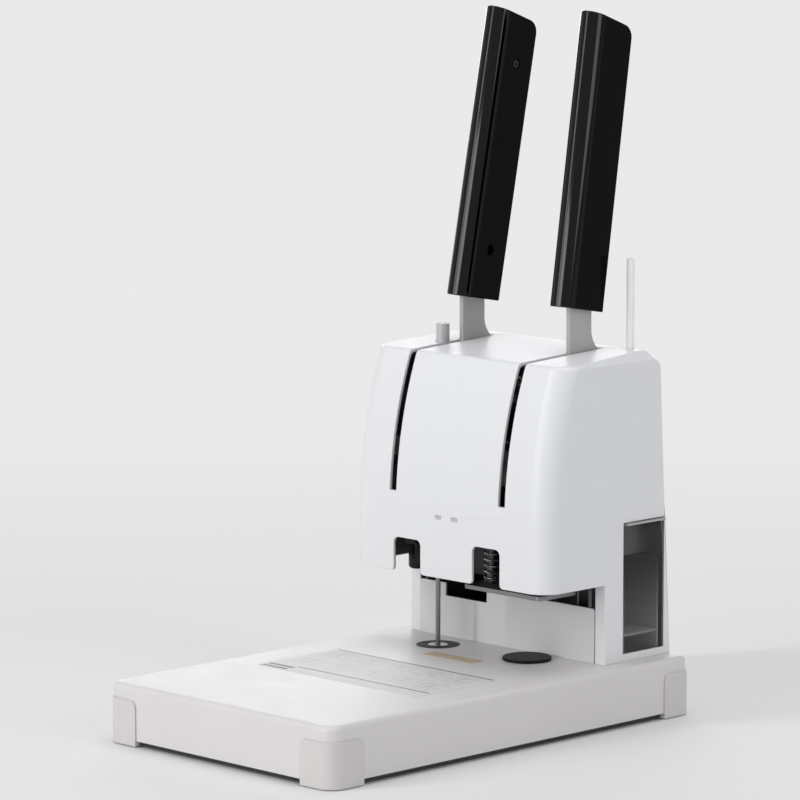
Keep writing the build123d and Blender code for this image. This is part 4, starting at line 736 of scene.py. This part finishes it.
screw_heights_and_sinks = ((34 * mm, 5.0 * mm), (163 * mm, 1.9 * mm))
for name, side in (("left", -1), ("right", 1)):
    leaning = Matrix.Rotation(-grip_lean, 3, "X") @ Matrix.Rotation(-grip_splay * side, 3, "Y")
    foot = Vector((side * grip_foot_across, grip_foot_back, grip_foot_height))
    inward = leaning @ Vector((-side, 0, 0))
    places = [(foot + leaning @ Vector((-side * (half_grip - sink), screw_setback, height)), inward)
              for height, sink in screw_heights_and_sinks]
    grip_screw = cross_screw(radius=3.25 * mm, height=1.8 * mm, shaft=1.65 * mm, length=11 * mm)
    screws_at(name + "_grip_cross_screws", grip_screw, places, black_screw, name + "_lever",
              name + "_grip_screws")

# Housing
# One moulded shell of white satin plastic covers head and column; its inside is painted dark as shade, so
# that slots and notches look dark.
# It has slots for the levers, notches over the tools and two lenses; a panel closes its back.
housing = Finish("white_satin_housing", Coat_Weight=0.1, Coat_Roughness=0.3)
outside_white = housing.shade(housing.noise(14, 3), (0.787, 0.792, 0.807), (0.793, 0.798, 0.813))
inner_front, inner_rear = 41.6 * mm, 165.6 * mm
straight_half, column_half = 72 * mm, 90.1 * mm
head_low, head_high, column_low, column_high = 96.5 * mm, 140.5 * mm, 44 * mm, 140 * mm
head_depth, side_start, side_end, column_start = 50 * mm, 22 * mm, 61 * mm, 60 * mm
from_middle = abs(housing.axis("X"))
from_front = housing.axis("Y") - inner_front
from_desk = housing.axis("Z")
along_rear = housing.axis("Y") + from_desk * rear_lean_below
behind_front = (from_middle < straight_half) * from_front.between(0.0, head_depth)
beside_column = (from_middle < column_half) * from_front.between(side_start, side_end)
in_column = (from_middle < column_half) * (from_front > column_start) * (along_rear < inner_rear)
in_head = (behind_front | beside_column) * from_desk.between(head_low, head_high)
# Painted shade: inside the head and column the white turns dark, as the shade in slots and notches.
painted_inside_shade = in_head | in_column * from_desk.between(column_low, column_high)
housing.colour(painted_inside_shade, outside_white, (0.07, 0.07, 0.072))
housing.dullness(housing.noise(55, 4), 0.40, spread=0.12)
housing.raise_by(housing.noise(1900), 0.000012, strength=0.6)
softened("front_cover", housing.material, edge=0.5 * mm, segments=3, angle=25)
dress(housing.material, "rear_cover")
clear_lens = Finish("clear_lens", Coat_Weight=0.8, Coat_Roughness=0.05)
lens_cloud = clear_lens.noise(500)
clear_lens.colour(lens_cloud, (0.42, 0.42, 0.43), (0.62, 0.62, 0.63))
clear_lens.dullness(lens_cloud, 0.14, spread=0.08)
dress(clear_lens.material, "indicator_lenses")

# Paper fence
# Folded steel sheet painted grey, with a cut-away behind the melting unit and a
# small flange folded back at the cut-away's end.
fence_paint = coated("mid_grey_fence_paint", (0.68, 0.672, 0.675), roughness=0.38, grain=1500, depth=0.00005,
                     patch=0.025, Coat_Weight=0.1)
softened("fence", fence_paint, edge=0.3 * mm)

# Mains inlet and switch
# A snap-in module of black plastic with three metal blades in its well, and a
# rocker switch beside them.
inlet_module = Finish("black_inlet_module")
module_cloud = inlet_module.noise(90, 3)
inlet_middle, blade_spacing, half_blade = -51 * mm, 7 * mm, 1.05 * mm
well_front, well_back, well_side = 149.6 * mm, 159.3 * mm, -42.9 * mm
blade_low, blade_high = 61.9 * mm, 66.1 * mm
from_inlet = abs(inlet_module.axis("X") - inlet_middle)
blades = (abs(from_inlet - blade_spacing) < half_blade) + (from_inlet < half_blade)
in_well = inlet_module.axis("Y").between(well_front, well_back) * (inlet_module.axis("X") < well_side)
bare_metal = in_well * inlet_module.axis("Z").between(blade_low, blade_high) * blades
module_black = inlet_module.shade(module_cloud, (0.018, 0.018, 0.019), (0.028, 0.028, 0.029))
inlet_module.colour(bare_metal, module_black, (0.68, 0.66, 0.60))
inlet_module.feed("Metallic", bare_metal)
inlet_module.dullness(module_cloud, 0.415, spread=0.15)
inlet_module.raise_by(inlet_module.noise(2200), 0.00004, strength=0.5)
softened("power_module", inlet_module.material, edge=0.3 * mm)
rocker_black = coated("rocker_gloss_black", (0.02, 0.02, 0.021), roughness=0.22, grain=2600, depth=0.00002,
                      patch=0.05, Coat_Weight=0.3)
softened("switch_rocker", rocker_black, edge=0.3 * mm)

# Chip drawer
# A pull-out bin with a raised floor catches the drilled chips. Its front is smoked
# acrylic, and a light grey finger bar is glued along the top.
drawer_low, drawer_high = (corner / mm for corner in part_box("chip_drawer"))
front, back, bottom = drawer_low.y, drawer_high.y, drawer_low.z
bin_left, bin_right, bin_front, bin_back = drawer_low.x, 89.8, front + 1.4, back - 2.8
wall, bin_top, floor_height = 1.8, 108.0, 57.6
panel_inner, panel_outer, panel_top = 89.9, 92.1, 133.2
bar_bottom, bar_top = 134.2, 135.6
smoke = Finish("smoked_acrylic", Alpha=0.34, IOR=1.49, Specular_IOR_Level=0.3)
smoke_cloud = smoke.noise(30, 3)
smoke.colour(smoke_cloud, (0.034, 0.035, 0.037), (0.044, 0.046, 0.048))
smoke.dullness(smoke_cloud, 0.10, spread=0.06)
# Painted shade: the bin is coloured darker towards its top, under the housing, and its front wall's outer
# face near black.
bin_painted_shade = Finish("bin_painted_shade")
dark_height, dark_fade = 105 * mm, 45 * mm
near_floor = ((dark_height - bin_painted_shade.axis("Z")) / dark_fade).at_most(1.0)
outer_wall = bin_painted_shade.axis("Y") < (bin_front + 0.2) * mm
outer_wall = outer_wall * (bin_painted_shade.axis("X") > (bin_left + 1.4) * mm)
inner_grey = bin_painted_shade.shade(near_floor, (0.09, 0.09, 0.092), (0.90, 0.90, 0.91))
bin_painted_shade.colour(outer_wall, inner_grey, (0.02, 0.02, 0.021))
bin_painted_shade.dullness(bin_painted_shade.noise(80, 3), 0.5, spread=0.2)
bar_grey = coated("light_grey_finger_bar", (0.42, 0.42, 0.425), roughness=0.40, grain=1800, depth=0.00004)


def drawer_part(name, boxes, material, edge, segments=3):
    """Boxes from their two corners in millimetres, with rounded edges, as one piece."""
    form = bmesh.new()
    for low, high in boxes:
        add_box(form, Vector(low) * mm, Vector(high) * mm)
    bmesh.ops.bevel(form, geom=form.edges[:], offset=edge, segments=segments, affect="EDGES", profile=0.5)
    piece = shown(name, mesh_of(form, name), material)
    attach(piece, "drawer")
    return piece


panel = drawer_part("drawer_front", [
    ((panel_inner, front, bottom), (panel_outer, back, panel_top)),
], smoke.material, edge=0.3 * mm)
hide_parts("chip_drawer")
drawer_part("drawer_finger_bar", [
    ((panel_inner, front + 2, bar_bottom), (drawer_high.x, back, bar_top)),
], bar_grey, edge=0.4 * mm)
drawer_part("drawer_bin", [
    ((bin_left, bin_front, bottom), (bin_left + wall, bin_back, bin_top)),
    ((bin_left + wall, bin_front, bottom), (bin_right, bin_front + wall, bin_top)),
    ((bin_left + wall, bin_back - wall, bottom), (bin_right, bin_back, bin_top)),
    ((bin_left + wall, bin_front + wall, floor_height), (bin_right, bin_back - wall, floor_height + wall)),
], bin_painted_shade.material, edge=0.2 * mm, segments=2)

# Time dial
# A small grey moulded knob on a thinner neck, pushed on the timer's shaft, with a
# fine line cut across the top as its pointer. The timer under it has a black case.
knob_grey = coated("light_grey_knob", (0.50, 0.50, 0.505), roughness=0.36, grain=2200, depth=0.00003)
knob_low, knob_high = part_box("time_knob")
knob_middle = (knob_low + knob_high) / 2
knob_bottom, neck_radius = 243.8 * mm, 3.0 * mm
knob_radius, foot_radius = 4.6 * mm, 4.7 * mm
foot_top, taper_top = 247.4 * mm, 248.4 * mm
knob_outline = [
    (0, knob_low.z), (neck_radius, knob_low.z), (neck_radius, knob_bottom), (knob_radius, knob_bottom),
    (foot_radius, knob_bottom + 0.4 * mm), (foot_radius, foot_top), (knob_radius, taper_top),
    (knob_radius, knob_high.z - 0.8 * mm), (knob_radius - 0.15 * mm, knob_high.z - 0.3 * mm),
    (knob_radius - 0.5 * mm, knob_high.z), (0, knob_high.z),
]
knob = shown("dial_knob", revolved("dial_knob", knob_outline, steps=64), knob_grey)
pointer_depth = 0.3 * mm
pointer_cut = flat_bars([(-0.35, 0.6, 0.35, 6)], knob_high.z - pointer_depth, 2 * pointer_depth)
carved(knob, pointer_cut)
knob.data.transform(Matrix.Translation((knob_middle.x, knob_middle.y, 0)))
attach(knob, "time_dial")
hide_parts("time_knob")
timer_black = coated("timer_case", (0.03, 0.03, 0.031), roughness=0.45, grain=1800, depth=0.00004)
dress(timer_black, "timer_unit")

# Supply tube
# A length of white nylon tube stands in a black socket at the rear right. Rivets
# are cut from it, so its top is a plain square cut.
nylon = Finish("white_nylon", Specular_IOR_Level=0.35)
nylon_cloud = nylon.noise(70, 3, stretch=(1, 1, 0.2))
nylon.colour(nylon_cloud, (0.90, 0.90, 0.895), (0.95, 0.95, 0.945))
nylon.dullness(nylon_cloud, 0.45, spread=0.14)
nylon.raise_by(nylon.noise(900, stretch=(1, 1, 0.1)), 0.00003, strength=0.4)
softened("rivet_tube", nylon.material, edge=0.2 * mm)
dress(timer_black, "tube_socket")

# Control board
# A green laminate with a moulded transformer, a relay, a terminal block and two
# capacitors soldered to it.
board = Finish("populated_board")
board_cloud = board.noise(400, 3)
laminate = board.shade(board_cloud, (0.02, 0.10, 0.045), (0.035, 0.15, 0.07))
laminate_face, capacitor_foot = 139.9 * mm, 104 * mm
soldered_parts = board.shade(board.axis("Z") > capacitor_foot, (0.03, 0.03, 0.035), (0.04, 0.06, 0.16))
board.colour(board.axis("Y") < laminate_face, laminate, soldered_parts)
board.dullness(board_cloud, 0.4, spread=0.2)
dress(board.material, "control_board")

# Floor, light and camera
# A pale floor fades into a plain backdrop. Soft boxes light the machine from the front
# left, low in front, the right, above and behind. The camera has the photograph's view.
pale_floor = Finish("pale_floor")
floor_cloud = pale_floor.noise(0.6)
pale_floor.colour(floor_cloud, (0.80, 0.80, 0.80), (0.82, 0.82, 0.82))
pale_floor.dullness(floor_cloud, 0.745, spread=0.05)
clear_radius, fade_rate = 0.45, 1.1
far_away = ((pale_floor.round_the_axis(0, 0) - clear_radius) * fade_rate).at_least(0.0).at_most(1.0)
camera_ray, glossy_ray, clear_ray = (
    pale_floor.node("ShaderNodeLightPath", output=name)
    for name in ("Is Camera Ray", "Is Glossy Ray", "Is Transmission Ray")
)
backdrop = pale_floor.node("ShaderNodeEmission", sockets={"Color": (0.82, 0.82, 0.82)})
lit_floor = Wire(pale_floor, pale_floor.shader.outputs[0])
faded_floor = pale_floor.node("ShaderNodeMixShader", sockets={
    0: far_away * (camera_ray + glossy_ray + clear_ray), 1: lit_floor, 2: backdrop,
})
pale_floor.join(pale_floor.tree.nodes["Material Output"].inputs["Surface"], faded_floor)
floor_reach = 30
floor_corners = [(x * floor_reach, y * floor_reach, 0) for x, y in ((-1, -1), (1, -1), (1, 1), (-1, 1))]
floor_mesh = bpy.data.meshes.new("floor")
floor_mesh.from_pydata(floor_corners, [], [(0, 1, 2, 3)])
floor = shown("floor", floor_mesh, pale_floor.material)

world = bpy.data.worlds.new("studio")
bpy.context.scene.world = world
world.use_nodes = True
surround = world.node_tree.nodes["Background"]
surround.inputs["Color"].default_value = (0.93, 0.94, 0.96, 1)
surround.inputs["Strength"].default_value = 0.42
machine_middle = Vector((0, 0.05, 0.2))


def soft_box(name, place, width, height, power):
    """A lamp that faces the middle of the machine."""
    light = bpy.data.lights.new(name, "AREA")
    light.shape = "RECTANGLE"
    light.size = width
    light.size_y = height
    light.energy = power
    lamp = in_scene(name, light)
    lamp.location = place
    lamp.rotation_euler = (machine_middle - Vector(place)).to_track_quat("-Z", "Y").to_euler()


soft_box("front_left_key", (-1.1, -2.4, 1.6), width=0.6, height=1.9, power=10)
soft_box("front_left_strip", (-1.1, -2.4, 1.6), width=0.07, height=1.9, power=16)
soft_box("low_front_fill", (-0.1, -2.9, 0.55), width=1.4, height=0.9, power=18)
soft_box("right_fill", (2.6, 0.2, 1.2), width=1.4, height=1.4, power=13)
soft_box("top_soft", (0.2, 0.3, 2.6), width=1.8, height=1.8, power=20)
soft_box("rear_low_glow", (-2.0, 2.1, 0.75), width=2.4, height=0.9, power=17)

camera = in_scene("camera", bpy.data.cameras.new("camera"))
camera.location = (2.1314, -2.1160, 0.6457)
turn, drop = math.radians(45.258), math.radians(8.023)
ahead = Vector((-math.sin(turn) * math.cos(drop), math.cos(turn) * math.cos(drop), -math.sin(drop)))
camera.rotation_euler = ahead.to_track_quat("-Z", "Y").to_euler()
camera.data.sensor_width = 36
camera.data.lens = 204.9
camera.data.clip_end = 100
bpy.context.scene.camera = camera
bpy.context.scene.view_settings.view_transform = "Standard"
